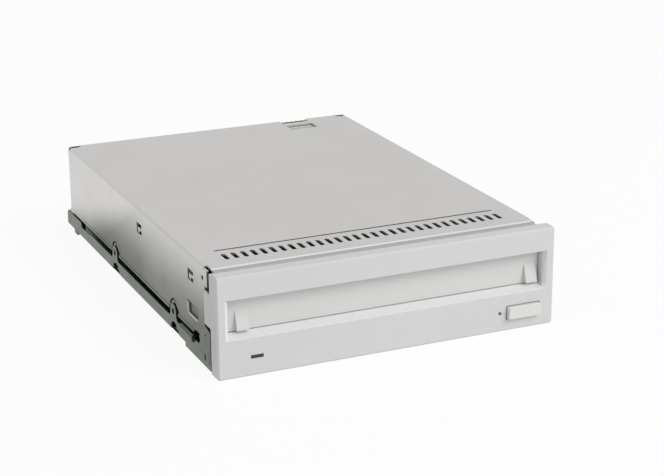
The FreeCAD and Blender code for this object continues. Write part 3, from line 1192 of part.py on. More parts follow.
def cartridge_holder():
    """Return the sheet-metal cage that the cartridge slides into: roof, sides, ledges and flared mouth."""
    x, inner, t = HOLDER_X, HOLDER_INNER_X, HOLDER_SHEET
    floor, roof, top, ledge = HOLDER_FLOOR_Z, HOLDER_ROOF_Z, HOLDER_TOP_Z, HOLDER_INNER_X - HOLDER_LEDGE
    cage = prism("y", HOLDER_Y, [
        (-x, floor - t), (-ledge, floor - t), (-ledge, floor), (-inner, floor), (-inner, roof), (inner, roof),
        (inner, floor), (ledge, floor), (ledge, floor - t), (x, floor - t), (x, top), (-x, top)])
    y, flare_length, flare_rise = HOLDER_Y[0], 1.2, 0.9
    flare = prism("x", (-x + 6, x - 6), [
        (y, roof), (y, top), (y - flare_length, top + flare_rise), (y - flare_length, roof + flare_rise)])
    window = (-BIAS_COIL_WIDTH / 2 - 0.5, BIAS_COIL_WIDTH / 2 + 0.5)
    tall = (roof - 1, top + 2)
    cuts = [prism("z", tall, rounded_rect(window, BIAS_WINDOW_Y, 1.0))]
    width, depth = ROOF_WINDOW
    for middle, y0 in ROOF_WINDOWS:
        cuts.append(prism("z", tall, rounded_rect(around(middle, width), span(y0, depth), WINDOW_CORNER)))
    for y1 in PIN_Y:
        cuts += both_sides(bar(PIN_RADIUS, (x - 2, y1, PIN_Z), (x + 1, y1, PIN_Z)))
    cuts.append(lever_path())
    return cut(fused([cage, flare]), cuts)


def holder_pins():
    """Return the four pins that carry the holder through its guides and the slider's cams."""
    pins = []
    for y in PIN_Y:
        pins += both_sides(bar(PIN_RADIUS, (HOLDER_INNER_X, y, PIN_Z), (PIN_END_X, y, PIN_Z)))
    return pins


def bias_coil():
    """Return the bias electromagnet over the disc's window: a core with its winding and end brackets."""
    half, top = BIAS_COIL_WIDTH / 2, HOLDER_TOP_Z + BIAS_COIL_HEIGHT
    y = (BIAS_WINDOW_Y[0] + 3, BIAS_WINDOW_Y[1] - 3)
    winding = box((-half, half), y, (HOLDER_ROOF_Z, top))
    winding = bevelled(winding, 1.2, lambda c, e: near(e.Length, y[1] - y[0]) and c.z > HOLDER_TOP_Z)
    core = box((-1.5, 1.5), (y[0] - 1.5, y[1] + 1.5), (HOLDER_ROOF_Z, HOLDER_TOP_Z + 3))
    foot_starts = (BIAS_WINDOW_Y[0] - 4, BIAS_WINDOW_Y[1] - 3.5)
    feet = [box((-half - 3, half + 3), span(start, 7.5), span(HOLDER_TOP_Z, 0.8)) for start in foot_starts]
    return fused([winding, core] + feet)


def pressure_springs():
    """Return the two leaf springs that press the cartridge down on its ledges."""
    y, z = PAD_Y, HOLDER_TOP_Z
    leaf = prism("x", around(PAD_X, PAD_WIDTH), [
        (y, z), (y + 14, z), (y + 14, z + 0.4), (y + 4, z + 0.4), (y + 1, z + 1.2), (y, z + 1.2)])
    return both_sides(leaf)


def lever_point(turn, reach):
    """Return the place at the given reach along the shutter lever after a turn from rest."""
    angle = math.radians(180.0 + LEVER_REST - turn)
    return (LEVER_PIVOT[0] + reach * math.cos(angle), LEVER_PIVOT[1] + reach * math.sin(angle))


def lever_path():
    """Return the curved slot in the holder's roof that the lever's pin sweeps through."""
    r = LEVER_PIN_RADIUS + 0.6
    ends = (HOLDER_ROOF_Z - 1, HOLDER_TOP_Z + 2)
    first, middle, last = 0.0, LEVER_SWING / 2, LEVER_SWING
    inner, outer = LEVER_LENGTH - r, LEVER_LENGTH + r
    sector = prism("z", ends, [
        lever_point(first, inner), lever_point(first, outer),
        (lever_point(middle, outer), lever_point(last, outer)), lever_point(last, inner),
        (lever_point(middle, inner), lever_point(first, inner))])
    tips = [lever_point(turn, LEVER_LENGTH) for turn in (first, last)]
    return fused([sector] + [bar(r, (x, y, ends[0]), (x, y, ends[1])) for x, y in tips])


def shutter_lever():
    """Return the lever on the holder's roof whose pin slides the cartridge's shutter open."""
    z = span(HOLDER_TOP_Z + 0.2, LEVER_SHEET)
    arm = slot("z", z, LEVER_PIVOT, lever_point(0.0, LEVER_LENGTH), LEVER_WIDTH)
    x, y = lever_point(0.0, LEVER_LENGTH)
    pin = bar(LEVER_PIN_RADIUS, (x, y, HOLDER_FLOOR_Z + 2.0), (x, y, z[1]))
    hole = rod(PIN_RADIUS + 0.06, (*LEVER_PIVOT, z[0] - 1), (*LEVER_PIVOT, z[1] + 1))
    return cut(fused([arm, pin]), [hole])


def lever_pivot():
    """Return the shouldered rivet on the holder's roof that the shutter lever turns on."""
    x, y = LEVER_PIVOT
    top = HOLDER_TOP_Z + 0.2 + LEVER_SHEET + 0.15
    shank = rod(PIN_RADIUS, (x, y, HOLDER_TOP_Z), (x, y, top))
    return fused([shank, bar(PIN_RADIUS + 1.2, (x, y, top), (x, y, top + 0.6))])


def loading_slider():
    """Return the slider: a roof over the holder with cammed sides and a rack on its left tongue."""
    x, t, top = SLIDER_OUTER_X, SLIDER_SHEET, SLIDER_TOP_Z
    shell = prism("y", SLIDER_Y, [
        (-x, SLIDER_BOTTOM_Z), (-x + t, SLIDER_BOTTOM_Z), (-x + t, top - t), (x - t, top - t),
        (x - t, SLIDER_BOTTOM_Z), (x, SLIDER_BOTTOM_Z), (x, top), (-x, top)])
    opening = (CROSS_BARS_Y[0][1], CROSS_BARS_Y[1][0])
    cuts = [prism("z", (top - 2, top + 1), rounded_rect((-x + 8, x - 8), opening, 5.0))]
    both = (-x - 1, x + 1)
    play = 2 * (PIN_RADIUS + PIN_CLEARANCE)
    for y in PIN_Y:
        cuts.append(slot("x", both, (y - SLIDER_TRAVEL, PIN_Z - LOWERING), (y, PIN_Z), play))
        relief_z = (SLIDER_BOTTOM_Z - 1, SLIDER_BOTTOM_Z + 0.6)
        cuts.append(box(both, around(y - SLIDER_TRAVEL / 2, SLIDER_RELIEF), relief_z))
    for y in STUD_Y:
        cuts.append(slot("x", both, (y - SLIDER_TRAVEL, STUD_Z), (y, STUD_Z), play))
    middle = (PIN_Y[0] + SLIDER_WINDOW_INSET, PIN_Y[1] - SLIDER_TRAVEL - SLIDER_WINDOW_INSET)
    cuts.append(prism("x", both, rounded_rect(middle, SLIDER_WINDOW_Z, WINDOW_CORNER)))
    return cut(fused([shell, rack_tongue()]), cuts)


def rack_tongue():
    """Return the tongue behind the slider's roof with its row of rack teeth."""
    z = (SLIDER_TOP_Z - SLIDER_SHEET, SLIDER_TOP_Z)
    root, tip = RACK_PITCH_X - DEDENDUM, RACK_PITCH_X + ADDENDUM
    pitch, lean = math.pi * GEAR_MODULE, math.tan(PRESSURE_ANGLE)
    half = (pitch / 2 - BACKLASH) / 2
    wide, narrow = half + DEDENDUM * lean, half - ADDENDUM * lean
    count = int((RACK_TONGUE_END_Y - 1.0 - RACK_START_Y) / pitch)
    first = GEAR_CENTRE_Y - (int((GEAR_CENTRE_Y - RACK_START_Y) / pitch) - 0.5) * pitch
    outer, end = -SLIDER_OUTER_X, RACK_TONGUE_END_Y
    steps = [(outer, SLIDER_Y[1] - 1), (outer, end), (root, end)]
    for i in reversed(range(count)):
        y = first + i * pitch
        steps += [(root, y + wide), (tip, y + narrow), (tip, y - narrow), (root, y - wide)]
    steps.append((root, SLIDER_Y[1] - 1))
    return prism("z", z, steps)


def gear(teeth, centre, z, phase):
    """Return a spur gear whose teeth follow the involute at root and tip, one tooth at the phase angle."""
    r = pitch_radius(teeth)
    base, root, tip = r * math.cos(PRESSURE_ANGLE), r - DEDENDUM, r + ADDENDUM

    def half_angle(radius):
        lean = math.acos(min(1.0, base / max(radius, base)))
        full = math.tan(PRESSURE_ANGLE) - PRESSURE_ANGLE
        return (math.pi * GEAR_MODULE / 2 - BACKLASH) / (2 * r) + full - (math.tan(lean) - lean)

    foot, head = half_angle(root), half_angle(tip)
    steps = []
    for i in range(teeth):
        middle = math.radians(phase) + 2 * math.pi * i / teeth
        for radius, turn in ((root, -foot), (tip, -head), (tip, head), (root, foot)):
            angle = middle + turn
            steps.append((centre[0] + radius * math.cos(angle), centre[1] + radius * math.sin(angle)))
    return prism("z", z, steps)


def bored(shape, centre, radius):
    """Return the gear with an upright bore through it."""
    return shape.cut(rod(radius, (*centre, GEAR_FOOT_Z - 1), (*centre, SLIDER_TOP_Z + 2)))


def slider_gear():
    """Return the double gear whose pinion drives the slider's rack."""
    centre = (SLIDER_GEAR_X, GEAR_CENTRE_Y)
    hub = bar(2.2, (*centre, GEAR_FOOT_Z), (*centre, WHEEL_Z[0]))
    wheel = gear(SLIDER_WHEEL_TEETH, centre, WHEEL_Z, 0.0)
    pinion = gear(SLIDER_PINION_TEETH, centre, (WHEEL_Z[1], SLIDER_TOP_Z + 0.6), 180.0)
    return bored(fused([hub, wheel, pinion]), centre, GEAR_SHAFT_RADIUS + GEAR_BORE_CLEARANCE)


def reduction_gear():
    """Return the double gear between the motor's pinion and the slider gear."""
    centre = (REDUCTION_X, GEAR_CENTRE_Y)
    wheel = gear(REDUCTION_WHEEL_TEETH, centre, REDUCTION_Z, MOTOR_TURN)
    hub = bar(2.0, (*centre, GEAR_FOOT_Z), (*centre, REDUCTION_Z[0]))
    phase = 180.0 + 180.0 / REDUCTION_PINION_TEETH
    pinion = gear(REDUCTION_PINION_TEETH, centre, (REDUCTION_Z[1], WHEEL_Z[1] + 0.3), phase)
    return bored(fused([hub, wheel, pinion]), centre, GEAR_SHAFT_RADIUS + GEAR_BORE_CLEARANCE)


def motor_pinion():
    """Return the brass pinion pressed on the loading motor's shaft."""
    centre = (MOTOR_X, MOTOR_Y)
    phase = 180.0 + MOTOR_TURN + 180.0 / MOTOR_PINION_TEETH
    teeth = gear(MOTOR_PINION_TEETH, centre, (GEAR_FOOT_Z, MOTOR_SHAFT_TOP_Z), phase)
    return bored(teeth, centre, MOTOR_SHAFT_RADIUS)


def motor_shaft():
    """Return the loading motor's turning shaft."""
    foot = BRACKET_Z - MOTOR_LENGTH + 4
    return rod(MOTOR_SHAFT_RADIUS, (MOTOR_X, MOTOR_Y, foot), (MOTOR_X, MOTOR_Y, MOTOR_SHAFT_TOP_Z))


def loading_motor():
    """Return the motor's can, flattened on two sides, with its bearing and its two solder tags."""
    x, y, low, top, width = MOTOR_X, MOTOR_Y, BRACKET_Z - MOTOR_LENGTH, BRACKET_Z, 2 * MOTOR_RADIUS
    can = bar(MOTOR_RADIUS, (x, y, low), (x, y, top), 20)
    flats = box(around(x, width + 1), around(y, width - MOTOR_FLATS), (low - 1, top + 1))
    tags = [box(around(x + dx, 1.6), around(y, 0.4), (low - 2.0, low + 0.2)) for dx in (-4.0, 4.0)]
    bore = rod(MOTOR_SHAFT_RADIUS + MOTOR_SHAFT_CLEARANCE, (x, y, low + 3), (x, y, top + 1))
    return cut(fused([can.common(flats)] + tags), [bore])


def gear_bracket():
    """Return the folded plate over the motor that carries the gears' shafts."""
    x, t, low, top = (-DECK_END_HALF_WIDTH, MOTOR_X + MOTOR_RADIUS + 2), BRACKET_SHEET, DECK_TOP_Z, BRACKET_Z
    y = (HOLDER_Y[1] + 2.5, DECK_Y[1])
    foot_y = span(y[0], 12.0)
    plate = box(x, y, span(top, t))
    legs = [box(span(x[0], t), y, (low, top)), box((x[1] - t, x[1]), y, (low, top))]
    feet = [box(span(x[0], 8.0), foot_y, span(low, t)), box((x[1] - 7.0, x[1]), foot_y, span(low, t))]
    holes = [bar(radius, (cx, cy, top - 1), (cx, cy, top + 3)) for radius, cx, cy in (
        (2 * MOTOR_SHAFT_RADIUS, MOTOR_X, MOTOR_Y), (GEAR_SHAFT_RADIUS, SLIDER_GEAR_X, GEAR_CENTRE_Y),
        (GEAR_SHAFT_RADIUS, REDUCTION_X, GEAR_CENTRE_Y))]
    window = prism("x", (x[0] - 1, x[0] + 3), rounded_rect((y[0] + 5, y[1] - 5), (low + 4, top - 4), 2.0))
    return cut(fused([plate] + legs + feet), holes + [window])


def gear_shafts():
    """Return the two shafts riveted in the bracket for the two double gears."""
    y, z, shafts = GEAR_CENTRE_Y, BRACKET_Z, []
    for x, top in ((SLIDER_GEAR_X, SLIDER_TOP_Z + 0.9), (REDUCTION_X, WHEEL_Z[1] + 0.6)):
        rivet = bar(GEAR_SHAFT_RADIUS + 0.8, (x, y, z - 0.5), (x, y, z))
        shafts.append(fused([rivet, rod(GEAR_SHAFT_RADIUS, (x, y, z - 0.2), (x, y, top))]))
    return shafts


def control_board():
    """Return the main circuit board with its screw holes and the holes its studs pass through."""
    board = box((-BOARD_HALF_WIDTH, BOARD_HALF_WIDTH), BOARD_Y, span(BOARD_BOTTOM_Z, BOARD_THICKNESS))
    top = BOARD_TOP_Z + 1
    cuts = [bar(BOARD_SCREW_RADIUS + 0.05, (x, y, 0), (x, y, top)) for x, y in board_screw_places()]
    for x, y, _ in damper_stud_tops():
        if y > BOARD_Y[0]:
            cuts.append(bar(DAMPER_STUD_RADIUS + 0.6, (x, y, 0), (x, y, top)))
    return cut(board, cuts)


def board_screws():
    """Return the pan-headed screws that hold the control board on its standoffs."""
    screws = []
    for x, y in board_screw_places():
        shank = bar(BOARD_SCREW_RADIUS, (x, y, BOARD_BOTTOM_Z), (x, y, BOARD_TOP_Z))
        head = bar(BOARD_SCREW_HEAD_RADIUS, (x, y, BOARD_TOP_Z), (x, y, BOARD_TOP_Z + BOARD_SCREW_HEAD))
        screws.append(fused([shank, head]))
    return screws


def board_chips():
    """Return the packages on the control board."""
    z = span(BOARD_TOP_Z, CHIP_HEIGHT)
    return [box(around(x, width), around(y, depth), z) for x, y, width, depth in CHIPS]


def pin_rows(x, count, pitch, y, z, size):
    """Return rows of square pins that point backward out of a connector."""
    first = x - (count - 1) / 2 * pitch
    return [box(around(first + i * pitch, size), y, around(level, size))
            for i in range(count) for level in z]


def scsi_connector():
    """Return the fifty-way shrouded plug at the rear of the board: its moulding."""
    y, z = (CONNECTOR_REAR_Y - SCSI_DEPTH, CONNECTOR_REAR_Y), span(BOARD_TOP_Z, SCSI_HEIGHT)
    body, t = box(SCSI_X, y, z), SCSI_WALL
    well = box((SCSI_X[0] + t, SCSI_X[1] - t), (y[0] + SCSI_BACK, y[1] + 1), (z[0] + t, z[1] - t))
    middle = (SCSI_X[0] + SCSI_X[1]) / 2
    key = box(around(middle, 4.5), (y[0] + 3, y[1] + 1), (z[1] - 2, z[1] + 1))
    return cut(body, [well, key])


def power_connector():
    """Return the four-way power socket's moulding with its bevelled upper corners."""
    y, z = (CONNECTOR_REAR_Y - POWER_DEPTH, CONNECTOR_REAR_Y), span(BOARD_TOP_Z, POWER_HEIGHT)
    body = box(POWER_X, y, z)
    inner, c, t = (POWER_X[0] + 1.2, POWER_X[1] - 1.2), 2.4, 1.2
    well = prism("y", (y[0] + 3, y[1] + 1), [
        (inner[0], z[0] + t), (inner[1], z[0] + t), (inner[1], z[1] - t - c), (inner[1] - c, z[1] - t),
        (inner[0] + c, z[1] - t), (inner[0], z[1] - t - c)])
    return cut(body, [well])


def power_pins():
    """Return the four round pins of the power socket."""
    middle, z = (POWER_X[0] + POWER_X[1]) / 2, BOARD_TOP_Z + POWER_HEIGHT / 2
    y = (CONNECTOR_REAR_Y - POWER_DEPTH + 3, CONNECTOR_REAR_Y - 3)
    places = [middle + (i - 1.5) * POWER_PITCH for i in range(4)]
    return [bar(POWER_PIN_RADIUS, (x, y[0], z), (x, y[1], z)) for x in places]


def jumper_block():
    """Return the moulding of the option header beside the rear plug."""
    front = CONNECTOR_REAR_Y - JUMPER_REACH - JUMPER_DEPTH
    return box(JUMPER_X, span(front, JUMPER_DEPTH), span(BOARD_TOP_Z, JUMPER_HEIGHT))


def riser_board():
    """Return the upright interface board that stands on the control board."""
    leg = box(span(RISER_X[0], RISER_LEG), span(RISER_Y, RISER_THICKNESS), (BOARD_TOP_Z, RISER_TOP_Z))
    return fused([leg, box(RISER_X, span(RISER_Y, RISER_THICKNESS), (RISER_STEP_Z, RISER_TOP_Z))])


def riser_socket():
    """Return the socket that holds the interface board on the control board."""
    x = (RISER_X[0] + 1, RISER_X[0] + RISER_LEG - 1)
    return box(x, (RISER_Y - 3.5, RISER_Y), span(BOARD_TOP_Z, 7.0))


def flex_connector():
    """Return the flat-cable connector at the top of the interface board, with its comb of contacts."""
    top = COVER_INNER_Z - COMB_BELOW_COVER
    y, z = (REAR_WINDOW_Y[0] + 0.8, RISER_Y), (top - COMB_HEIGHT, top)
    body = box((REAR_WINDOW_X[0] - 0.6, REAR_WINDOW_X[1] + 0.6), y, z)
    middle = (REAR_WINDOW_X[0] + REAR_WINDOW_X[1]) / 2
    first = middle - (COMB_PIN_COUNT - 1) / 2 * COMB_PITCH
    comb_y, comb_z = (y[0] - 1, y[0] + COMB_LENGTH), (z[1] - COMB_DEPTH, z[1] + 1)
    combs = [box(around(first + i * COMB_PITCH, COMB_SLOT), comb_y, comb_z) for i in range(COMB_PIN_COUNT)]
    return cut(body, combs)


def riser_header():
    """Return the option header behind the interface board, which fills the cover's rear notch."""
    front, rear = RISER_Y + RISER_THICKNESS, RISER_Y + RISER_THICKNESS + HEADER_DEPTH
    low = RISER_TOP_Z - HEADER_HEIGHT
    left, right = REAR_WINDOW_X
    foot = box((left - HEADER_GAP, right + HEADER_GAP), (front, rear), (low, RISER_TOP_Z))
    crest_x = (left + HEADER_GAP, right - HEADER_GAP)
    crest_y = (COVER_REAR_Y - REAR_NOTCH_LENGTH + HEADER_GAP, rear)
    return foot.fuse(box(crest_x, crest_y, (low, COVER_TOP_Z - HEADER_GAP)))


def header_pins():
    """Return the square pins of the rear plug and of both option headers."""
    half, size = PIN_PITCH / 2, PIN_SIZE
    rear = CONNECTOR_REAR_Y
    plug_x, plug_z = (SCSI_X[0] + SCSI_X[1]) / 2, BOARD_TOP_Z + SCSI_HEIGHT / 2
    plug_y = (rear - SCSI_DEPTH + SCSI_BACK, rear - 1.2)
    pins = pin_rows(plug_x, SCSI_PIN_COUNT, PIN_PITCH, plug_y, (plug_z - half, plug_z + half), size)
    jumper_x, jumper_z = (JUMPER_X[0] + JUMPER_X[1]) / 2, BOARD_TOP_Z + JUMPER_HEIGHT / 2
    jumper_y, levels = (rear - JUMPER_REACH, rear - 0.5), (jumper_z - half, jumper_z + half)
    pins += pin_rows(jumper_x, JUMPER_PIN_COUNT, PIN_PITCH, jumper_y, levels, size)
    riser_x, riser_z = (REAR_WINDOW_X[0] + REAR_WINDOW_X[1]) / 2, RISER_TOP_Z - HEADER_PIN_DROP
    riser_y = span(RISER_Y + RISER_THICKNESS + HEADER_DEPTH, HEADER_PIN_REACH)
    rows = (riser_z - HEADER_PIN_HALF, riser_z + HEADER_PIN_HALF)
    pins += pin_rows(riser_x, HEADER_PIN_COUNT, PIN_PITCH, riser_y, rows, size)
    return pins


def cover_brackets():
    """Return the four angle brackets on the pan's floor that the cover fits over."""
    x, side_x = COVER_INNER_X, (COVER_INNER_X - ANGLE_SHEET, COVER_INNER_X)
    rear = COVER_REAR_Y - COVER_SHEET
    rear_y = (rear - REAR_BRACKET_LENGTH, rear)
    angles = []
    for y in (FRONT_BRACKET_Y, rear_y):
        side = box(side_x, y, (PLATE_TOP_Z, BRACKET_TOP_Z))
        angles.append(side.fuse(box((x - BRACKET_FOOT, x), y, span(PLATE_TOP_Z, ANGLE_SHEET))))
    arch_y = (FRONT_BRACKET_Y[0] + FRONT_BRACKET_LEG, FRONT_BRACKET_Y[1] - FRONT_BRACKET_LEG)
    arch = box((x - BRACKET_FOOT - 1, x + 1), arch_y, (0, FRONT_BRACKET_ARCH_Z))
    front_angle = cut(angles[0], [arch])
    flange = box((x - BRACKET_FLANGE, x), (rear - ANGLE_SHEET, rear),
                 (REAR_FLANGE_BOTTOM_Z, COVER_INNER_Z - BRACKET_FLANGE_DROP))
    rear_angle = fused([angles[1], cut(flange, [cover_screw_hole()])])
    return both_sides(front_angle.removeSplitter()) + both_sides(rear_angle)


def cover_screw_hole():
    """Return the cutter for one screw hole through the cover's rear flange and its bracket."""
    return bar(SCREW_RADIUS, (SCREW_X, COVER_REAR_Y - 6, SCREW_Z), (SCREW_X, COVER_REAR_Y + 1, SCREW_Z))


def cover_screws():
    """Return the two pan-headed screws in the cover's rear flange."""
    rear = COVER_REAR_Y
    shank = bar(SCREW_RADIUS, (SCREW_X, rear - 5.0, SCREW_Z), (SCREW_X, rear, SCREW_Z))
    head = bar(SCREW_HEAD_RADIUS, (SCREW_X, rear, SCREW_Z), (SCREW_X, rear + SCREW_HEAD, SCREW_Z))
    cross_y = (rear + SCREW_HEAD - 0.6, rear + SCREW_HEAD + 1)
    cross = [box(around(SCREW_X, w), cross_y, around(SCREW_Z, h)) for w, h in ((2.6, 0.6), (0.6, 2.6))]
    return both_sides(cut(fused([shank, head]), cross))


def write_part(name, shape):
    """Move one node's solids to the drive's own frame and write them."""
    solids = shape if isinstance(shape, list) else [shape]
    moved = []
    for solid in solids:
        copy = solid.copy()
        copy.translate(V(0, -ORIGIN_Y, 0))
        moved.append(copy)
    whole = moved[0] if len(moved) == 1 else Part.makeCompound(moved)
    if len(whole.Solids) != len(moved) or not whole.isValid():
        print("check", name, "solids", len(whole.Solids), "of", len(moved), "valid", whole.isValid())
    whole.exportStep(os.path.join("parts", name + ".step"))


NODES = (
    front_bezel, slot_door, door_hinge_pin, door_spring, eject_button, button_spring,
    eject_switch, front_board, activity_lens, activity_led, chassis, top_cover, base_deck,
    rubber_dampers, damper_screws, spindle_motor_base, stator_coils, turntable, hub_magnet,
    guide_rods, rod_clamps, optical_carriage, carriage_coils, coil_yokes, coil_magnets,
    turning_mirror, lens_holder, objective_lens, fixed_optics, optics_lid, lift_guides,
    guide_studs, cartridge_holder, holder_pins, bias_coil, pressure_springs, shutter_lever,
    lever_pivot, loading_slider, slider_gear, reduction_gear, motor_pinion, motor_shaft,
    loading_motor, gear_bracket, gear_shafts, control_board, board_screws, board_chips,
    scsi_connector, power_connector, power_pins, jumper_block, riser_board, riser_socket,
    flex_connector, riser_header, header_pins, cover_brackets, cover_screws,
)


def main():
    """Build every node and write it under its own name."""
    os.makedirs("parts", exist_ok=True)
    for build in NODES:
        write_part(build.__name__, build())


main()
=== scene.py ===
"""Looks of a half-height magneto-optical disc drive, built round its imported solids.

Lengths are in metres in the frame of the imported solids: X to the right, Y from front to rear, Z up
from the underside. New pieces are surfaces worked out from formulas as whole arrays of points.
"""

import json
import logging
import math
from dataclasses import dataclass, field
from enum import Enum
from functools import cache

import bpy
import numpy as np
from mathutils import Matrix, Vector


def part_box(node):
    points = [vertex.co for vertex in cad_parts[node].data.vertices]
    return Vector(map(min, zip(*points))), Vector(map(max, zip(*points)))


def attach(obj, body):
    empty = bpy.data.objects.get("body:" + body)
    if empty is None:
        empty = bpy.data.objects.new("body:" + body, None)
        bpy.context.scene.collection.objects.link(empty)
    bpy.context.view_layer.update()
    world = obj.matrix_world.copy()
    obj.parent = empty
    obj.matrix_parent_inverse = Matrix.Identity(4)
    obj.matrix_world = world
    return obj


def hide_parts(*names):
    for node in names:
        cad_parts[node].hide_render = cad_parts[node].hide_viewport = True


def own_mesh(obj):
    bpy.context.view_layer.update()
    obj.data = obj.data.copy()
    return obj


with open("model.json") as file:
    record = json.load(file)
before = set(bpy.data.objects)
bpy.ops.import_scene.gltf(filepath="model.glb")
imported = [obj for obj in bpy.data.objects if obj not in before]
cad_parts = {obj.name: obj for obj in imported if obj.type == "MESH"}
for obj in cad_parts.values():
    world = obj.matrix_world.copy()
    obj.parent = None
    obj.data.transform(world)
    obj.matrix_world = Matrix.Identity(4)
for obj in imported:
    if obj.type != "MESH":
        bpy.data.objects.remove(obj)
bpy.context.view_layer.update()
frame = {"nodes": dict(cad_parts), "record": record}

MM = 0.001
FRONT_TO_MIDDLE = 104.025  # millimetres from the front moulding's face to the frame's origin
NOISE_LOW, NOISE_HIGH = 0.3, 0.7  # the range that holds nearly all of a noise pattern's values
Colour = tuple[float, float, float]
Point = tuple[float, float, float]
Shell = tuple[np.ndarray, list[list[int]]]
SLOT_OF = {part["node"]: part["material_slot"] for part in frame["record"]["subparts"]}
log = logging.getLogger("drive")


def placed(x: float, y: float, z: float) -> Point:
    """Return a point of the frame.

    Args:
        x: Millimetres to the right of the middle.
        y: Millimetres behind the front moulding's face.
        z: Millimetres above the underside.

    Returns:
        The point in metres.
    """
    return (x * MM, (y - FRONT_TO_MIDDLE) * MM, z * MM)


class Axis(Enum):
    """A direction of the frame, by its place in a point."""

    X = 0
    Y = 1
    Z = 2

    def vector(self) -> np.ndarray:
        """Return the unit vector of the direction."""
        return np.eye(3)[self.value]


class Graph:
    """A material's node graph, with short ways to add and join its nodes."""

    def __init__(self, name: str) -> None:
        """Start a graph that holds one surface shader.

        Args:
            name: The material's name.
        """
        self.material = bpy.data.materials.new(name)
        self.material.use_nodes = True
        self.tree = self.material.node_tree
        self.tree.nodes.clear()
        self.shader = self.add("ShaderNodeBsdfPrincipled")
        output = self.add("ShaderNodeOutputMaterial")
        self.link(self.shader.outputs["BSDF"], output.inputs["Surface"])
        self.coords = self.add("ShaderNodeTexCoord").outputs["Object"]

    def add(self, kind: str, **settings: object) -> bpy.types.Node:
        """Add a node.

        Args:
            kind: The node's type name.
            settings: Properties to set on it.

        Returns:
            The new node.
        """
        node = self.tree.nodes.new(kind)
        for key, value in settings.items():
            setattr(node, key, value)
        return node

    def link(self, start: bpy.types.NodeSocket, end: bpy.types.NodeSocket) -> None:
        """Join an output to an input."""
        self.tree.links.new(start, end)

    def stretched(self, stretch: Point) -> bpy.types.NodeSocket:
        """Return the object's own coordinates, scaled along each axis.

        Args:
            stretch: The factor along each axis.

        Returns:
            The vector socket.
        """
        mapping = self.add("ShaderNodeMapping")
        mapping.inputs["Scale"].default_value = stretch
        self.link(self.coords, mapping.inputs["Vector"])
        return mapping.outputs["Vector"]

    def noise(self, size: float, detail: float = 3.0,
              stretch: Point = (1, 1, 1)) -> bpy.types.NodeSocket:
        """Return a cloudy pattern from 0 to 1.

        Args:
            size: The pattern's grain in metres.
            detail: How many finer layers it has.
            stretch: How much finer it is along each axis.

        Returns:
            The pattern's value socket.
        """
        noise = self.add("ShaderNodeTexNoise")
        noise.inputs["Scale"].default_value = 1.0 / size
        noise.inputs["Detail"].default_value = detail
        self.link(self.stretched(stretch), noise.inputs["Vector"])
        return noise.outputs["Fac"]

    def cells(self, size: float) -> bpy.types.NodeSocket:
        """Return a pattern of cells, as the distance to each cell's middle.

        Args:
            size: The cells' size in metres.

        Returns:
            The pattern's value socket.
        """
        cells = self.add("ShaderNodeTexVoronoi")
        cells.inputs["Scale"].default_value = 1.0 / size
        self.link(self.coords, cells.inputs["Vector"])
        return cells.outputs["Distance"]

    def ramp(self, fac: bpy.types.NodeSocket, low: tuple[float, Colour],
             high: tuple[float, Colour]) -> bpy.types.NodeSocket:
        """Return a colour that runs between two stops.

        Args:
            fac: The value that picks the colour.
            low: The lower stop's place and colour.
            high: The higher stop's place and colour.

        Returns:
            The colour socket.
        """
        ramp = self.add("ShaderNodeValToRGB")
        for element, (place, colour) in zip(ramp.color_ramp.elements, (low, high)):
            element.position = place
            element.color = (*colour, 1.0)
        self.link(fac, ramp.inputs["Fac"])
        return ramp.outputs["Color"]

    def spread(self, fac: bpy.types.NodeSocket, low: float, high: float) -> bpy.types.NodeSocket:
        """Return a noise pattern carried onto a range of values.

        Args:
            fac: The noise pattern.
            low: The value for its darkest parts.
            high: The value for its brightest parts.

        Returns:
            The value socket.
        """
        spread = self.add("ShaderNodeMapRange")
        for key, value in (("From Min", NOISE_LOW), ("From Max", NOISE_HIGH),
                           ("To Min", low), ("To Max", high)):
            spread.inputs[key].default_value = value
        self.link(fac, spread.inputs["Value"])
        return spread.outputs["Result"]

    def combined(self, operation: str, first: bpy.types.NodeSocket,
                 second: bpy.types.NodeSocket) -> bpy.types.NodeSocket:
        """Return two patterns joined into one.

        Args:
            operation: The math node's operation, such as MULTIPLY or MINIMUM.
            first: One pattern.
            second: The other one.

        Returns:
            The value socket.
        """
        math_node = self.add("ShaderNodeMath", operation=operation)
        self.link(first, math_node.inputs[0])
        self.link(second, math_node.inputs[1])
        return math_node.outputs["Value"]

    def faded(self, value: bpy.types.NodeSocket, start: float, end: float) -> bpy.types.NodeSocket:
        """Return a pattern that runs smoothly from 1 to 0 while a value rises.

        Args:
            value: The value.
            start: Where the run starts; at and under it the pattern is 1.
            end: Where the run ends; at and over it the pattern is 0.

        Returns:
            The pattern's value socket.
        """
        run = self.add("ShaderNodeMapRange", interpolation_type="SMOOTHSTEP")
        for key, level in (("From Min", start), ("From Max", end),
                           ("To Min", 1.0), ("To Max", 0.0)):
            run.inputs[key].default_value = level
        self.link(value, run.inputs["Value"])
        return run.outputs["Result"]

    def along(self, direction: Point) -> bpy.types.NodeSocket:
        """Return how far a point lies along a direction, as their dot product.

        Args:
            direction: The direction.

        Returns:
            The value socket.
        """
        dot = self.add("ShaderNodeVectorMath", operation="DOT_PRODUCT")
        self.link(self.coords, dot.inputs[0])
        dot.inputs[1].default_value = direction
        return dot.outputs["Value"]

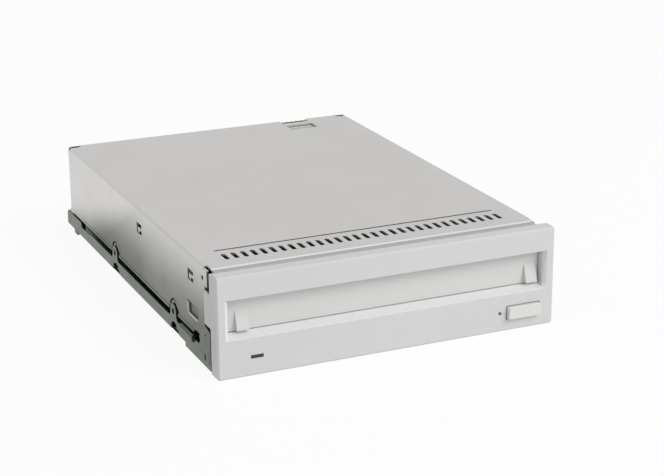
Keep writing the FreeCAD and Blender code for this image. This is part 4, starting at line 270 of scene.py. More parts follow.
    def inside(self, low: Point, high: Point, soft: float) -> bpy.types.NodeSocket:
        """Return 1 within a box and 0 outside it.

        A point's distance from the box is the largest part of |point - middle| - half size.

        Args:
            low: The box's lowest corner.
            high: Its highest corner.
            soft: The width of the run from 1 to 0 outside the box.

        Returns:
            The value socket.
        """
        value = self.coords
        middle = tuple((first + last) / 2 for first, last in zip(low, high))
        half = tuple((last - first) / 2 for first, last in zip(low, high))
        for operation, operand in (("SUBTRACT", middle), ("ABSOLUTE", None), ("SUBTRACT", half)):
            step = self.add("ShaderNodeVectorMath", operation=operation)
            self.link(value, step.inputs[0])
            if operand:
                step.inputs[1].default_value = operand
            value = step.outputs["Vector"]
        split = self.add("ShaderNodeSeparateXYZ")
        self.link(value, split.inputs["Vector"])
        farthest = self.combined("MAXIMUM", split.outputs["X"], split.outputs["Y"])
        return self.faded(self.combined("MAXIMUM", farthest, split.outputs["Z"]), 0.0, soft)

    def glaze(self, part: bpy.types.NodeSocket, colour: Colour) -> None:
        """Lay a second colour over the surface's own.

        Args:
            part: How much of it covers, from 0 to 1.
            colour: The colour.
        """
        mix = self.add("ShaderNodeMix", data_type="RGBA")
        self.link(part, mix.inputs["Factor"])
        self.link(self.shader.inputs["Base Color"].links[0].from_socket, mix.inputs["A"])
        mix.inputs["B"].default_value = (*colour, 1.0)
        self.link(mix.outputs["Result"], self.shader.inputs["Base Color"])

    def relief(self, height: bpy.types.NodeSocket, depth: float, strength: float) -> None:
        """Raise the surface by a pattern.

        Args:
            height: The pattern, from 0 to 1.
            depth: The relief's depth in metres.
            strength: How much of it shows, from 0 to 1.
        """
        bump = self.add("ShaderNodeBump")
        bump.inputs["Strength"].default_value = strength
        bump.inputs["Distance"].default_value = depth
        self.link(height, bump.inputs["Height"])
        if self.shader.inputs["Normal"].is_linked:
            before = self.shader.inputs["Normal"].links[0].from_socket
            self.link(before, bump.inputs["Normal"])
        self.link(bump.outputs["Normal"], self.shader.inputs["Normal"])

    def join_for_seen_rays(self, plain: bpy.types.NodeSocket, seen: bpy.types.NodeSocket,
                           share: float) -> None:
        """Show a mix of two surfaces to camera, gloss and glass, and the plain one to other light.

        Args:
            plain: The surface that throws light back.
            seen: The surface that is mixed in where it is seen.
            share: How much of it is mixed in.
        """
        part = self.add("ShaderNodeMath", operation="MULTIPLY")
        part.inputs[1].default_value = share
        self.link(seen_rays(self.tree), part.inputs[0])
        mix = self.add("ShaderNodeMixShader")
        self.link(part.outputs["Value"], mix.inputs["Fac"])
        self.link(plain, mix.inputs[1])
        self.link(seen, mix.inputs[2])
        output = next(node for node in self.tree.nodes if node.type == "OUTPUT_MATERIAL")
        self.link(mix.outputs["Shader"], output.inputs["Surface"])

    def fixed(self, **values: object) -> None:
        """Set values on the shader's own sockets.

        Args:
            values: The values by socket name, with underscores in place of its spaces.
        """
        for key, value in values.items():
            self.shader.inputs[key.replace("_", " ")].default_value = value


def tinted(colour: Colour, factor: float) -> Colour:
    """Return a colour made lighter or darker, with no channel over 1.

    Args:
        colour: The colour.
        factor: Over 1 for lighter, under 1 for darker.

    Returns:
        The new colour.
    """
    return tuple(min(1.0, channel * factor) for channel in colour)


@dataclass(frozen=True)
class PaintedLightZone:
    """A zone of painted highlight or painted shade on a surface: a box of the frame, with a soft
    edge.
    """

    low: Point
    high: Point
    colour: Colour
    soft: float = 0.2 * MM


@dataclass(frozen=True)
class PaintedReflection:
    """A painted dark reflection on the left wall of a sheet, which lies at and beyond -wall_x.

    It thins out upward between the two heights of run. Toward the rear it ends along a slanted edge
    as well, which at the place edge_y lies between the two heights of edge and sinks by slant for
    each length further back. wall_soft is the width of its run out behind the wall's face, and
    cloud the size of the thinner patches in it.
    """

    colour: Colour
    wall_x: float
    run: tuple[float, float]
    edge: tuple[float, float]
    edge_y: float
    slant: float
    wall_soft: float = 0.5 * MM
    cloud: float = 60 * MM

    def lay(self, graph: Graph) -> None:
        """Paint the dark reflection over a surface.

        Its cover is min(level, slanted) times wall times a cloudy pattern. The level fades with the
        height z, the slanted part with z + slant (y - edge_y), and the wall part with x.

        Args:
            graph: The surface's graph.
        """
        level = graph.faded(graph.along((0.0, 0.0, 1.0)), *self.run)
        shift = self.slant * self.edge_y
        slanted = graph.faded(graph.along((0.0, self.slant, 1.0)),
                              self.edge[0] + shift, self.edge[1] + shift)
        wall = graph.faded(graph.along((1.0, 0.0, 0.0)), -self.wall_x,
                           self.wall_soft - self.wall_x)
        cover = graph.combined("MULTIPLY", graph.combined("MINIMUM", level, slanted), wall)
        cloudy = graph.spread(graph.noise(self.cloud, detail=1.0), low=0.85, high=1.0)
        graph.glaze(graph.combined("MULTIPLY", cover, cloudy), self.colour)


@dataclass(frozen=True)
class Finish:
    """A finish: its colour and roughness, how far each of them wanders, and its zones of painted
    highlight and painted shade.
    """

    name: str
    colour: Colour
    roughness: float = 0.5
    wander: float = 0.04
    patch: float = 12 * MM
    gloss_wander: float = 0.08
    painted_light_zones: tuple[PaintedLightZone, ...] = field(default=(), kw_only=True)

    def dress(self, graph: Graph) -> None:
        """Add the finish's own relief and gloss; a plain finish adds none."""

    @cache
    def material(self) -> bpy.types.Material:
        """Return the finish's material, made once.

        Its colour follows a cloudy pattern of the size of patch, and its roughness a finer one.

        Returns:
            The material.
        """
        graph = Graph(self.name)
        cloud = graph.noise(self.patch)
        tone = graph.ramp(cloud, (NOISE_LOW, tinted(self.colour, 1 - self.wander)),
                          (NOISE_HIGH, tinted(self.colour, 1 + self.wander)))
        graph.link(tone, graph.shader.inputs["Base Color"])
        gloss = graph.noise(self.patch / 3)
        rough = graph.spread(gloss, low=self.roughness * (1 - self.gloss_wander),
                             high=self.roughness * (1 + self.gloss_wander))
        graph.link(rough, graph.shader.inputs["Roughness"])
        self.dress(graph)
        # Paint the zones of highlight and shade over the colour.
        for tint in self.painted_light_zones:
            graph.glaze(graph.inside(tint.low, tint.high, tint.soft), tint.colour)
        return graph.material


@dataclass(frozen=True)
class MouldedPlastic(Finish):
    """Plastic from a spark-etched mould: a fine even grain under a satin skin."""

    grain: float = 0.35 * MM
    depth: float = 0.02 * MM

    def dress(self, graph: Graph) -> None:
        """Add the mould's grain and the faint sink of the wall behind it.

        Args:
            graph: The graph of the finish.
        """
        graph.relief(graph.noise(9 * MM, detail=1.0), depth=0.05 * MM, strength=0.10)
        graph.relief(graph.cells(self.grain), depth=self.depth, strength=0.35)
        graph.fixed(Specular_IOR_Level=0.42)


@dataclass(frozen=True)
class SheetMetal(Finish):
    """Coated or plated sheet: rolling streaks from front to rear, a fine grain and a metal gloss.

    Some sheets have a second tint in clouds, or a painted dark reflection.
    """

    streak: Point = (1.0, 0.03, 1.0)
    second: Colour | None = None
    painted_reflection: PaintedReflection | None = None

    def dress(self, graph: Graph) -> None:
        """Add the streaks, the coating's grain, its second tint and the painted dark reflection.

        Args:
            graph: The graph of the finish.
        """
        streaks = graph.noise(0.7 * MM, detail=2.0, stretch=self.streak)
        graph.relief(streaks, depth=0.01 * MM, strength=0.22)
        graph.relief(graph.noise(0.25 * MM, detail=2.0), depth=0.008 * MM, strength=0.25)
        graph.fixed(Metallic=1.0)
        if self.second:
            clouds = graph.noise(5 * MM, detail=4.0)
            graph.glaze(graph.spread(clouds, low=0.0, high=0.65), self.second)
        if self.painted_reflection:
            self.painted_reflection.lay(graph)


@dataclass(frozen=True)
class CastMetal(Finish):
    """Die-cast alloy: grey metal with a pebbly skin."""

    def dress(self, graph: Graph) -> None:
        """Add the casting's skin."""
        graph.relief(graph.noise(0.6 * MM, detail=5.0), depth=0.04 * MM, strength=0.5)
        graph.fixed(Metallic=0.9)


@dataclass(frozen=True)
class Winding(Finish):
    """Enamelled wire laid in turns: fine parallel ridges and a varnish."""

    wire: float = 0.2 * MM

    def dress(self, graph: Graph) -> None:
        """Add the ridges of the turns and the varnish.

        Args:
            graph: The graph of the finish.
        """
        wave = graph.add("ShaderNodeTexWave", bands_direction="Z")
        wave.inputs["Scale"].default_value = math.pi / 10 / self.wire
        wave.inputs["Distortion"].default_value = 0.4
        graph.link(graph.coords, wave.inputs["Vector"])
        graph.relief(wave.outputs["Fac"], depth=self.wire / 2, strength=0.8)
        graph.fixed(Metallic=0.85, Coat_Weight=0.5, Coat_Roughness=0.15)


@dataclass(frozen=True)
class SolderMask(Finish):
    """A circuit board: lacquer over copper runs that show as lighter, slightly raised lines."""

    run: Colour = (0.05, 0.26, 0.12)
    pitch: float = 2.2 * MM

    def dress(self, graph: Graph) -> None:
        """Add the copper runs under the lacquer, as the joints of a grid of blocks.

        Args:
            graph: The graph of the finish.
        """
        runs = graph.add("ShaderNodeTexBrick", offset=0.35, squash=1.6)
        for key, value in (("Scale", 1.0 / self.pitch), ("Mortar Size", 0.07),
                           ("Mortar Smooth", 0.2)):
            runs.inputs[key].default_value = value
        graph.link(graph.coords, runs.inputs["Vector"])
        graph.glaze(runs.outputs["Fac"], self.run)
        graph.relief(runs.outputs["Fac"], depth=0.04 * MM, strength=0.6)
        graph.fixed(Coat_Weight=0.6, Coat_Roughness=0.12)


@dataclass(frozen=True)
class ClearPart(Finish):
    """Clear or smoked moulding or glass."""

    clear: float = 0.9
    bend: float = 1.49

    def dress(self, graph: Graph) -> None:
        """Let light through, with a faint waviness."""
        graph.relief(graph.noise(1.5 * MM, detail=1.0), depth=0.01 * MM, strength=0.15)
        graph.fixed(Transmission_Weight=self.clear, IOR=self.bend)


@dataclass(frozen=True)
class TurnedMetal(Finish):
    """Ground or turned metal: bright, with very fine marks."""

    def dress(self, graph: Graph) -> None:
        """Add the grinding marks."""
        graph.relief(graph.noise(0.12 * MM, detail=2.0), depth=0.004 * MM, strength=0.2)
        graph.fixed(Metallic=1.0)


@dataclass(frozen=True)
class Rubber(Finish):
    """Soft moulded rubber with a dusty bloom."""

    def dress(self, graph: Graph) -> None:
        """Add the bloom and the moulding's grain."""
        graph.relief(graph.noise(0.4 * MM), depth=0.02 * MM, strength=0.4)
        graph.fixed(Sheen_Weight=0.3, Sheen_Roughness=0.5)


def tube(path: np.ndarray, normals: np.ndarray, radius: float, sides: int = 8) -> Shell:
    """Return a round wire along a path, closed at both ends.

    Each point of the path carries a ring: path + radius (cos a normal + sin a binormal), where the
    binormal is the tangent's cross product with the normal.

    Args:
        path: The points of the wire's middle line, one per row.
        normals: A unit vector across the line at each point.
        radius: The wire's radius.
        sides: How many faces go round it.

    Returns:
        The points and faces of the wire.
    """
    tangents = np.gradient(path, axis=0)
    tangents /= np.linalg.norm(tangents, axis=1, keepdims=True)
    normals = normals - np.sum(normals * tangents, axis=1, keepdims=True) * tangents
    normals /= np.linalg.norm(normals, axis=1, keepdims=True)
    binormals = np.cross(tangents, normals)
    turn = np.linspace(0.0, 2 * np.pi, sides, endpoint=False)[None, :, None]
    out = np.cos(turn) * normals[:, None] + np.sin(turn) * binormals[:, None]
    rings = path[:, None] + radius * out
    return rings.reshape(-1, 3), loops(len(path), sides) + caps(len(path), sides)


def loops(rows: int, columns: int) -> list[list[int]]:
    """Return the faces between neighbouring rings of a grid whose columns close on themselves.

    Args:
        rows: How many rings the grid has.
        columns: How many points each ring has.

    Returns:
        The faces, as point numbers counted ring by ring.
    """
    index = np.arange(rows * columns).reshape(rows, columns)
    after = np.roll(index, -1, axis=1)
    quads = np.stack([index[:-1], after[:-1], after[1:], index[1:]], axis=-1)
    return quads.reshape(-1, 4).tolist()


def caps(rows: int, columns: int) -> list[list[int]]:
    """Return the faces that close the first and the last ring of such a grid.

    Args:
        rows: How many rings the grid has.
        columns: How many points each ring has.

    Returns:
        The two faces.
    """
    last = (rows - 1) * columns
    return [list(range(columns))[::-1], list(range(last, last + columns))]


def turned(profile: np.ndarray, sides: int) -> Shell:
    """Return a profile carried round the Z axis, closed at both ends.

    Each row (r, h) gives a ring of points (r cos a, r sin a, h).

    Args:
        profile: The rows of radius and height.
        sides: How many faces go round the axis.

    Returns:
        The points and faces.
    """
    turn = np.linspace(0.0, 2 * np.pi, sides, endpoint=False)
    across = profile[:, 0, None] * np.stack([np.cos(turn), np.sin(turn)])[:, None]
    height = np.repeat(profile[:, 1, None], sides, axis=1)
    points = np.stack([across[0], across[1], height], axis=-1).reshape(-1, 3)
    return points, loops(len(profile), sides) + caps(len(profile), sides)


def stood(shell: Shell, axis: Axis, centre: Point, sign: int = 1) -> Shell:
    """Return a shell about the Z axis stood along another axis at a place in the frame.

    Each point (x, y, z) goes to centre + x side + y (up cross side) + z up.

    Args:
        shell: The points and faces about Z.
        axis: The direction that Z becomes.
        centre: Where the shell's own origin goes.
        sign: 1 along the direction, -1 against it.

    Returns:
        The moved points and the same faces.
    """
    points, faces = shell
    up = axis.vector() * sign
    side = Axis((axis.value + 1) % 3).vector()
    turn = np.stack([side, np.cross(up, side), up])
    return points @ turn + np.array(centre), faces


def piece(name: str, shells: list[Shell], finish: Finish) -> bpy.types.Object:
    """Return one object that holds the shells, shaded as curved surfaces.

    Args:
        name: The piece's name.
        shells: Points and faces of each part of it.
        finish: The finish of all its faces.

    Returns:
        The new object, at the origin.
    """
    points = np.concatenate([shell[0] for shell in shells])
    starts = np.cumsum([0] + [len(shell[0]) for shell in shells[:-1]])
    faces = [[int(start) + i for i in face]
             for shell, start in zip(shells, starts) for face in shell[1]]
    mesh = bpy.data.meshes.new(name)
    mesh.from_pydata(points.tolist(), [], faces)
    mesh.polygons.foreach_set("use_smooth", np.full(len(faces), True))
    mesh.materials.append(finish.material())
    mesh.update()
    made = bpy.data.objects.new(name, mesh)
    bpy.context.scene.collection.objects.link(made)
    return made


def fit(made: bpy.types.Object, body: str, slot: str, *replaced: str) -> None:
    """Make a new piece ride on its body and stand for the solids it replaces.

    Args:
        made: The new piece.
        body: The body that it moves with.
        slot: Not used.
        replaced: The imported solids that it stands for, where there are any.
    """
    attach(made, body)
    if replaced:
        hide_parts(*replaced)
    log.info("%s rides on %s, %d faces", made.name, body, len(made.data.polygons))


@dataclass(frozen=True)
class CoilSpring:
    """A wire spring: a helix round an axis, with closed end turns or with two straight legs."""

    name: str
    start: Point
    axis: Axis
    length: float
    radius: float
    wire: float
    turns: float
    leg: float = 0.0
    turn_points: int = 20
    leg_points: int = 5

    def shell(self) -> Shell:
        """Return the wire.

        The middle line is start + u length along the axis + radius (cos a, sin a) across it, where
        a grows evenly with t from 0 to 1. Without legs u = t - sin(2 pi t) / 2 pi, which lays the
        end turns against each other. With legs u = t, and a leg leaves each end along the tangent.

        Returns:
            The points and faces.
        """
        t = np.linspace(0.0, 1.0, int(self.turns * self.turn_points) + 1)
        angle = 2 * np.pi * self.turns * t
        side = Axis((self.axis.value + 1) % 3).vector()
        other = np.cross(self.axis.vector(), side)
        radial = np.cos(angle)[:, None] * side + np.sin(angle)[:, None] * other
        along = t if self.leg else t - np.sin(2 * np.pi * t) / (2 * np.pi)
        rise = self.length * along[:, None] * self.axis.vector()
        path = np.array(self.start) + rise + self.radius * radial
        if self.leg:
            out = np.linspace(self.leg, self.wire / 2, self.leg_points)[:, None]
            tangent = np.cross(self.axis.vector(), radial)
            path = np.concatenate([path[:1] - out * tangent[:1], path,
                                   path[-1:] + out[::-1] * tangent[-1:]])
            radial = np.concatenate([np.repeat(radial[:1], self.leg_points, axis=0), radial,
                                     np.repeat(radial[-1:], self.leg_points, axis=0)])
        return tube(path, radial, self.wire / 2)


@dataclass(frozen=True)
class PanHeadScrew:
    """A pan-headed screw with a cross recess."""

    radius: float
    height: float
    shank: float
    reach: float
    slot: float = 0.62 * MM
    rings: int = 20
    sides: int = 64
    shank_sides: int = 16

    def shells(self, seat: Point, axis: Axis) -> list[Shell]:
        """Return the head and the shank.

        The head's height over its seat is height sqrt(1 - 0.75 (r / R)^2), less the recess. The
        recess is 0.7 height deep where the smaller of |x| and |y| is under 0.375 of the slot's
        width and r is under 0.54 R. It runs out evenly to nothing at 0.625 of the width and at
        0.62 R. The shank is a turned profile with a blunt point.

        Args:
            seat: The middle of the face that the head lies on.
            axis: The direction that the head points in.

        Returns:
            The two shells.
        """
        radii = np.concatenate([np.linspace(0.04, 0.97, self.rings), [1.0, 1.0]]) * self.radius
        turn = np.linspace(0.0, 2 * np.pi, self.sides, endpoint=False)
        x, y = radii[:, None] * np.cos(turn), radii[:, None] * np.sin(turn)
        reach = radii[:, None] / self.radius
        near = np.minimum(np.abs(x), np.abs(y))
        cross = np.clip((self.slot / 2 - near) / (0.25 * self.slot) + 0.5, 0, 1)
        inside = np.clip((0.62 - reach) / 0.08, 0, 1)
        z = self.height * (np.sqrt(1 - 0.75 * reach ** 2) - 0.7 * cross * inside)
        z[-1] = 0.0
        points = np.stack([x, y, z], axis=-1)[::-1].reshape(-1, 3)
        head = (points, loops(len(radii), self.sides) + caps(len(radii), self.sides))
        rows = np.array([(0.2, 0.0), (1.0, 0.12), (1.0, 1.0)]) * (self.shank, self.reach)
        shank = turned(rows, self.shank_sides)
        return [stood(head, axis, seat), stood(shank, axis, seat, -1)]


# Painted highlight: the slot's lower lip is glazed lighter, as if lit from above.
SLOT_LIP_PAINTED_HIGHLIGHT = PaintedLightZone(placed(-70.4, -1.0, 15.9), placed(70.4, 4.6, 18.0), (0.79, 0.78, 0.78))
# Painted highlight: a lighter strip down the slot's left bevel.
SLOT_BEVEL_PAINTED_HIGHLIGHT = PaintedLightZone(placed(-70.4, -1.0, 15.9), placed(-68.9, 1.6, 32.3), (0.82, 0.81, 0.81))
# Painted shade: the cover's stepped front strip is darker, as in the shadow where it meets the
# moulding.
COVER_STEP_PAINTED_SHADE = PaintedLightZone(placed(-74.0, 7.0, 39.0), placed(74.0, 14.1, 42.0), (0.52, 0.52, 0.51))
# Painted highlight: a bright line along the cover's front fold.
COVER_FOLD_PAINTED_HIGHLIGHT = PaintedLightZone(placed(-72.0, 13.45, 40.5), placed(72.0, 14.05, 41.3), (0.93, 0.93, 0.92),
                  soft=0.05 * MM)
# Painted shade: the plated parts under the cover's vents are made near black, so the vents look dark
# inside.
UNDER_VENTS_PAINTED_SHADE = PaintedLightZone(placed(-66.0, 17.0, 25.0), placed(66.0, 30.0, 40.6), (0.05, 0.05, 0.05),
                   soft=2 * MM)
# Painted reflection: a dark olive reflection on the cover's left wall, darker towards the bottom.
SIDE_PAINTED_REFLECTION = PaintedReflection((0.100, 0.109, 0.084), wall_x=71.8 * MM, run=(12 * MM, 48 * MM),
                 edge=(13 * MM, 31 * MM), edge_y=placed(0.0, 145.0, 0.0)[1], slant=0.28)

BEZEL_WHITE = MouldedPlastic("bezel_plastic", (0.68, 0.67, 0.675), roughness=0.42, wander=0.012,
                             patch=30 * MM, painted_light_zones=(SLOT_LIP_PAINTED_HIGHLIGHT, SLOT_BEVEL_PAINTED_HIGHLIGHT))
DOOR_WHITE = MouldedPlastic("door_plastic", (0.70, 0.695, 0.68),
                            roughness=0.40, wander=0.012, patch=25 * MM)
BUTTON_WHITE = MouldedPlastic("button_plastic", (0.74, 0.74, 0.705),
                              roughness=0.36, wander=0.012, patch=20 * MM)
BLACK_PLASTIC = MouldedPlastic("black_plastic", (0.018, 0.018, 0.02),
                               roughness=0.45, wander=0.10, patch=6 * MM)
WHITE_PLASTIC = MouldedPlastic("white_plastic", (0.70, 0.69, 0.64),
                               roughness=0.38, wander=0.03, patch=6 * MM)
SMOKED = ClearPart("smoked_plastic", (0.05, 0.035, 0.035),
                   roughness=0.12, wander=0.05, patch=4 * MM, clear=0.25)
LAMP = ClearPart("lamp_plastic", (0.55, 0.38, 0.10),
                 roughness=0.15, wander=0.05, patch=2 * MM, clear=0.5)
LENS_GLASS = ClearPart("lens_glass", (0.75, 0.80, 0.88),
                       roughness=0.03, wander=0.02, patch=2 * MM, clear=0.95, bend=1.6)
COVER_STEEL = SheetMetal("cover_steel", (0.70, 0.69, 0.68), roughness=0.42, wander=0.015,
                         patch=40 * MM, painted_reflection=SIDE_PAINTED_REFLECTION, painted_light_zones=(COVER_STEP_PAINTED_SHADE, COVER_FOLD_PAINTED_HIGHLIGHT))
CHASSIS_STEEL = SheetMetal("chassis_steel", (0.095, 0.12, 0.09), roughness=0.34, wander=0.06,
                           patch=14 * MM, second=(0.125, 0.14, 0.11))
PLATED_STEEL = SheetMetal("plated_steel", (0.62, 0.62, 0.60), roughness=0.30, wander=0.03,
                          patch=10 * MM, painted_light_zones=(UNDER_VENTS_PAINTED_SHADE,))
SPRING_STEEL = SheetMetal("spring_steel", (0.42, 0.42, 0.43),
                          roughness=0.28, wander=0.04, patch=3 * MM)
BRIGHT_STEEL = TurnedMetal("bright_steel", (0.72, 0.72, 0.72),
                           roughness=0.14, wander=0.02, patch=8 * MM)
TURNED_ALUMINIUM = TurnedMetal("turned_aluminium", (0.74, 0.74, 0.75),
                               roughness=0.24, wander=0.03, patch=6 * MM)
BRASS = TurnedMetal("brass", (0.72, 0.53, 0.22),
                    roughness=0.25, wander=0.04, patch=5 * MM)
PIN_GOLD = TurnedMetal("pin_gold", (0.80, 0.62, 0.28),
                       roughness=0.22, wander=0.04, patch=4 * MM)
CAST_ALUMINIUM = CastMetal("cast_aluminium", (0.50, 0.50, 0.51),
                           roughness=0.48, wander=0.05, patch=9 * MM)
FERRITE = CastMetal("ferrite", (0.06, 0.06, 0.065),
                    roughness=0.55, wander=0.08, patch=4 * MM)
COPPER = Winding("copper", (0.62, 0.27, 0.10),
                 roughness=0.30, wander=0.06, patch=3 * MM)
BOARD_GREEN = SolderMask("board_green", (0.02, 0.14, 0.06),
                         roughness=0.30, wander=0.08, patch=9 * MM)
DAMPER_RUBBER = Rubber("rubber", (0.03, 0.03, 0.03),
                       roughness=0.70, wander=0.10, patch=5 * MM)

FINISHES = {finish.name: finish for finish in (
    BEZEL_WHITE, DOOR_WHITE, BUTTON_WHITE, BLACK_PLASTIC, WHITE_PLASTIC, SMOKED, LAMP, LENS_GLASS,
    COVER_STEEL, CHASSIS_STEEL, PLATED_STEEL, SPRING_STEEL, BRIGHT_STEEL, TURNED_ALUMINIUM, BRASS,
    PIN_GOLD, CAST_ALUMINIUM, FERRITE, COPPER, BOARD_GREEN, DAMPER_RUBBER)}


@dataclass
class SubAssembly:
    """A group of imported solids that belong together, with the width of each one's broken edges."""

    name: str
    edges: dict[str, float]
    weld_reach: float = 0.001 * MM
    edge_segments: int = 3
    edge_angle: float = math.radians(35)

    def dress(self) -> None:
        """Give each of the group's solids the finish of its slot, and break its edges."""
        for node, width in self.edges.items():
            finish = FINISHES[SLOT_OF[node]]
            target = frame["nodes"][node]
            for slot in target.material_slots:
                slot.material = finish.material()
            if width:
                self.break_edges(target, width)
            log.info("%s: %s in %s", self.name, node, finish.name)

    def break_edges(self, target: bpy.types.Object, width: float) -> None:
        """Round an object's edges a little, after joining its loose faces.

        Args:
            target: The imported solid.
            width: How wide the rounding is.
        """
        weld = target.modifiers.new("joined", "WELD")
        weld.merge_threshold = self.weld_reach
        bevel = target.modifiers.new("edges", "BEVEL")
        bevel.width = width
        bevel.segments = self.edge_segments
        bevel.limit_method = "ANGLE"
        bevel.angle_limit = self.edge_angle

    def build(self) -> None:
        """Build the group's new pieces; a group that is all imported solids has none."""


@dataclass
class Front(SubAssembly):
    """The front moulding with its door, button and indicator.

    hinge_line holds the Y and Z of the door's hinge pin.
    """

    hinge_line: tuple[float, float] = placed(0.0, 6.4, 35.2)[1:]
    door_spring_radius: float = 1.15 * MM
    door_spring_wire: float = 0.5 * MM
    door_spring_turns: float = 8.25
    door_spring_leg: float = 2.6 * MM
    button_spring_radius: float = 1.85 * MM
    button_spring_wire: float = 0.4 * MM
    button_spring_turns: float = 4.5

    def build(self) -> None:
        """Wind the door's torsion spring and the button's return spring."""
        low, high = (Vector(corner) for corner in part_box("door_spring"))
        wire = self.door_spring_wire
        spring = CoilSpring("door_return_spring", (low.x + wire / 2, *self.hinge_line), Axis.X,
                            high.x - low.x - wire, self.door_spring_radius, wire,
                            self.door_spring_turns, self.door_spring_leg)
        made = piece(spring.name, [spring.shell()], SPRING_STEEL)
        fit(made, "chassis_body", "spring_steel", "door_spring")
        low, high = (Vector(corner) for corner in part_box("button_spring"))
        middle = (low + high) / 2
        wire = self.button_spring_wire
        spring = CoilSpring("button_return_spring", (middle.x, low.y + wire / 2, middle.z), Axis.Y,
                            high.y - low.y - wire, self.button_spring_radius, wire,
                            self.button_spring_turns)
        made = piece(spring.name, [spring.shell()], SPRING_STEEL)
        fit(made, "chassis_body", "spring_steel", "button_spring")
        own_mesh(made)


@dataclass
class Case(SubAssembly):
    """The folded cover and pan, with the brackets and screws that join them.

    The places of the side windows' lips are in millimetres, for placed.
    """

    head_radius: float = 2.6 * MM
    head_height: float = 1.0 * MM
    screw_radius: float = 1.5 * MM
    lip_x: float = 72.05
    lip_y: tuple[float, float] = (25.8, 37.5)
    lip_z: tuple[float, float] = (15.3, 20.3)
    lip_bend: float = 1.2
    lip_radius: float = 0.6 * MM
    lip_sides: int = 10
    leg_points: int = 12
    bend_points: int = 9

    def window_lip(self, side: int) -> Shell:
        """Return the moulded lip in a side window: down its rear edge and forward along its foot.

        The corner is a quarter turn: y = rear - bend (1 - cos a), z = foot + bend (1 - sin a).

        Args:
            side: 1 for the right window, -1 for the left one.

        Returns:
            The points and faces.
        """
        (front, rear), (foot, top), bend = self.lip_y, self.lip_z, self.lip_bend
        t = np.linspace(0.0, 1.0, self.leg_points)[:, None]
        a = np.linspace(0.0, np.pi / 2, self.bend_points)[1:-1, None]
        down = np.hstack([np.full_like(t, rear), top + (foot + bend - top) * t])
        turn = np.hstack([rear - bend * (1 - np.cos(a)), foot + bend * (1 - np.sin(a))])
        along = np.hstack([rear - bend + (front - rear + bend) * t, np.full_like(t, foot)])
        flat = np.concatenate([down, turn, along])
        path = np.array([placed(side * self.lip_x, y, z) for y, z in flat])
        across = np.tile(Axis.X.vector(), (len(path), 1))
        return tube(path, across, self.lip_radius, self.lip_sides)

    def build(self) -> None:
        """Mould the side windows' lips and turn the two screws in the cover's rear flange."""
        made = piece("window_lips", [self.window_lip(side) for side in (-1, 1)], WHITE_PLASTIC)
        fit(made, "chassis_body", "white_plastic")
        low, high = (Vector(corner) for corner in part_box("cover_screws"))
        seat_y = high.y - self.head_height
        screw = PanHeadScrew(self.head_radius, self.head_height, self.screw_radius, seat_y - low.y)
        shells = []
        for side in (-1, 1):
            seat = (side * (high.x - self.head_radius), seat_y, (low.z + high.z) / 2)
            shells += screw.shells(seat, Axis.Y)
        made = piece("cover_pan_screws", shells, PLATED_STEEL)
        fit(made, "chassis_body", "plated_steel", "cover_screws")


@dataclass
class Deck(SubAssembly):
    """The cast deck with the spindle, the optical head and the rubber suspension."""


@dataclass
class Loader(SubAssembly):
    """The cartridge holder, the slider that lowers it and the gear train that drives the slider."""


@dataclass
class Electronics(SubAssembly):
    """The boards and the connectors."""


SUB_ASSEMBLIES = (
    Front("front", {
        "front_bezel": 0.35 * MM, "slot_door": 0.25 * MM, "eject_button": 0.25 * MM,
        "activity_lens": 0.08 * MM, "door_hinge_pin": 0, "activity_led": 0, "eject_switch": 0,
        "front_board": 0}),
    Case("case", {"top_cover": 0.12 * MM, "chassis": 0.15 * MM, "cover_brackets": 0}),
    Deck("deck", {
        "base_deck": 0.2 * MM, "rubber_dampers": 0, "damper_screws": 0, "spindle_motor_base": 0,
        "stator_coils": 0, "turntable": 0, "hub_magnet": 0, "guide_rods": 0, "rod_clamps": 0,
        "optical_carriage": 0.15 * MM, "carriage_coils": 0.2 * MM, "coil_yokes": 0,
        "coil_magnets": 0, "turning_mirror": 0, "lens_holder": 0, "objective_lens": 0,
        "fixed_optics": 0.2 * MM, "optics_lid": 0}),
    Loader("loader", {
        "cartridge_holder": 0, "holder_pins": 0, "lift_guides": 0, "guide_studs": 0,
        "loading_slider": 0, "pressure_springs": 0, "bias_coil": 0.2 * MM, "shutter_lever": 0,
        "lever_pivot": 0, "loading_motor": 0, "motor_shaft": 0, "motor_pinion": 0,
        "reduction_gear": 0, "slider_gear": 0, "gear_shafts": 0, "gear_bracket": 0}),
    Electronics("electronics", {
        "control_board": 0, "board_chips": 0.1 * MM, "board_screws": 0,
        "scsi_connector": 0.12 * MM, "power_connector": 0.15 * MM, "power_pins": 0,
        "jumper_block": 0.1 * MM, "riser_board": 0, "riser_socket": 0.1 * MM,
        "flex_connector": 0.08 * MM, "riser_header": 0.1 * MM, "header_pins": 0}),
)


@dataclass(frozen=True)
class Lamp:
    """A square soft lamp turned to a point; one without glints isn't mirrored in gloss."""

    name: str
    place: Point
    power: float
    size: float
    aim: Point = (0.0, 0.0, 0.02)
    glints: bool = True

    def light(self) -> None:
        """Put the lamp in the scene."""
        data = bpy.data.lights.new(self.name, "AREA")
        data.energy = self.power
        data.size = self.size
        lamp = bpy.data.objects.new(self.name, data)
        lamp.location = self.place
        beam = Vector(self.aim) - Vector(self.place)
        lamp.rotation_euler = beam.to_track_quat("-Z", "Y").to_euler()
        lamp.visible_glossy = self.glints
        bpy.context.scene.collection.objects.link(lamp)


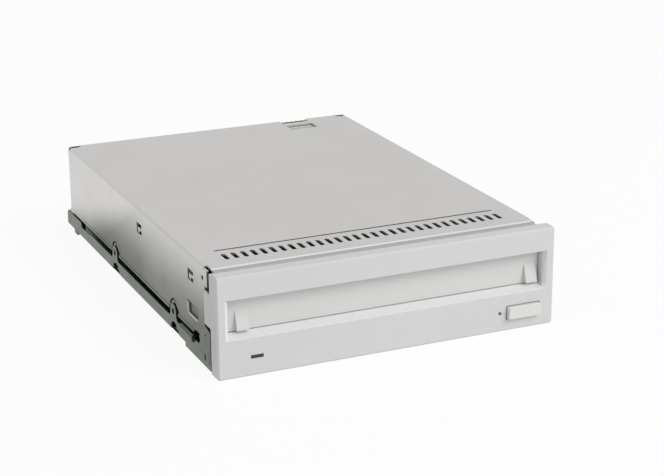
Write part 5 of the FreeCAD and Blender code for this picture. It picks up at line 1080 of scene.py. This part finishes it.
@dataclass(frozen=True)
class Studio:
    """A pale floor, soft light and the camera at the photograph's viewing angle.

    The camera looks past the aim, which then stands left of the picture's middle by aside. focal is
    its focal length in widths of the picture.
    """

    aim: Point = placed(0.0, 90.0, 20.0)
    azimuth: float = -23.99
    elevation: float = 18.73
    roll: float = -0.31
    distance: float = 769.6 * MM
    aside: float = 12.9 * MM
    focal: float = 1748.0 / 664.0
    sensor: float = 36.0
    nearest: float = 10 * MM
    world_level: float = 0.62
    floor_reach: float = 6.0
    floor_colour: Colour = (0.90, 0.90, 0.90)
    floor_glow: float = 0.92
    lamps: tuple[Lamp, ...] = (
        Lamp("key_lamp", (0.9, -1.2, 1.3), power=20.5, size=1.1, glints=False),
        Lamp("glint_lamp", (0.9, -1.2, 1.3), power=1.8, size=1.1),
    )

    def build(self) -> None:
        """Build the floor, the world, the lamps and the camera."""
        self.lay_floor()
        self.light_world()
        for lamp in self.lamps:
            lamp.light()
        self.place_camera()
        bpy.context.scene.view_settings.view_transform = "Standard"

    def lay_floor(self) -> None:
        """Lay a wide floor under the part.

        Seen by the camera, in gloss or through glass, most of its light is its own, so that it is
        near white and keeps a faint shadow; for the light that it throws back it is plain pale.
        """
        reach = self.floor_reach
        corners = [(-reach, -reach, 0), (reach, -reach, 0), (reach, reach, 0), (-reach, reach, 0)]
        mesh = bpy.data.meshes.new("floor")
        mesh.from_pydata(corners, [], [(0, 1, 2, 3)])
        graph = Graph("floor_paint")
        graph.fixed(Base_Color=(*self.floor_colour, 1.0), Roughness=0.9)
        glow = graph.add("ShaderNodeEmission")
        glow.inputs["Strength"].default_value = 1.0
        graph.join_for_seen_rays(graph.shader.outputs["BSDF"], glow.outputs["Emission"],
                                 self.floor_glow)
        mesh.materials.append(graph.material)
        floor = bpy.data.objects.new("floor", mesh)
        bpy.context.scene.collection.objects.link(floor)

    def light_world(self) -> None:
        """Light the scene evenly, and show white behind it."""
        world = bpy.data.worlds.new("studio")
        world.use_nodes = True
        tree = world.node_tree
        tree.nodes.clear()
        seen = tree.nodes.new("ShaderNodeBackground")
        lit = tree.nodes.new("ShaderNodeBackground")
        lit.inputs["Strength"].default_value = self.world_level
        mix = tree.nodes.new("ShaderNodeMixShader")
        output = tree.nodes.new("ShaderNodeOutputWorld")
        tree.links.new(seen_rays(tree), mix.inputs["Fac"])
        tree.links.new(lit.outputs["Background"], mix.inputs[1])
        tree.links.new(seen.outputs["Background"], mix.inputs[2])
        tree.links.new(mix.outputs["Shader"], output.inputs["Surface"])
        bpy.context.scene.world = world

    def place_camera(self) -> None:
        """Stand the camera where the photograph was taken from.

        Its back points along (sin a cos e, -cos a cos e, sin e) for azimuth a and elevation e.
        """
        a, e, r = (math.radians(angle) for angle in (self.azimuth, self.elevation, self.roll))
        back = Vector((math.sin(a) * math.cos(e), -math.cos(a) * math.cos(e), math.sin(e)))
        right = Vector((0, 0, 1)).cross(back).normalized()
        up = back.cross(right)
        across = math.cos(r) * right + math.sin(r) * up
        top = math.cos(r) * up - math.sin(r) * right
        spot = Vector(self.aim) + back * self.distance + right * self.aside
        data = bpy.data.cameras.new("camera")
        data.sensor_width = self.sensor
        data.lens = self.focal * self.sensor
        data.clip_start = self.nearest
        camera = bpy.data.objects.new("camera", data)
        turn = Matrix((across, top, back)).transposed().to_4x4()
        camera.matrix_world = Matrix.Translation(spot) @ turn
        bpy.context.scene.collection.objects.link(camera)
        bpy.context.scene.camera = camera


def seen_rays(tree: bpy.types.NodeTree) -> bpy.types.NodeSocket:
    """Return 1 for the rays of the camera, of gloss and of glass, and 0 for the others.

    Args:
        tree: The node tree that the value is for.

    Returns:
        The value socket.
    """
    path = tree.nodes.new("ShaderNodeLightPath")
    total = path.outputs["Is Camera Ray"]
    for name in ("Is Glossy Ray", "Is Transmission Ray"):
        add = tree.nodes.new("ShaderNodeMath")
        add.operation = "MAXIMUM"
        tree.links.new(total, add.inputs[0])
        tree.links.new(path.outputs[name], add.inputs[1])
        total = add.outputs["Value"]
    return total


def main() -> None:
    """Build the studio and every sub-assembly."""
    logging.basicConfig(level=logging.INFO, format="%(message)s")
    Studio().build()
    for assembly in SUB_ASSEMBLIES:
        assembly.dress()
        assembly.build()


if __name__ == "__main__":
    main()
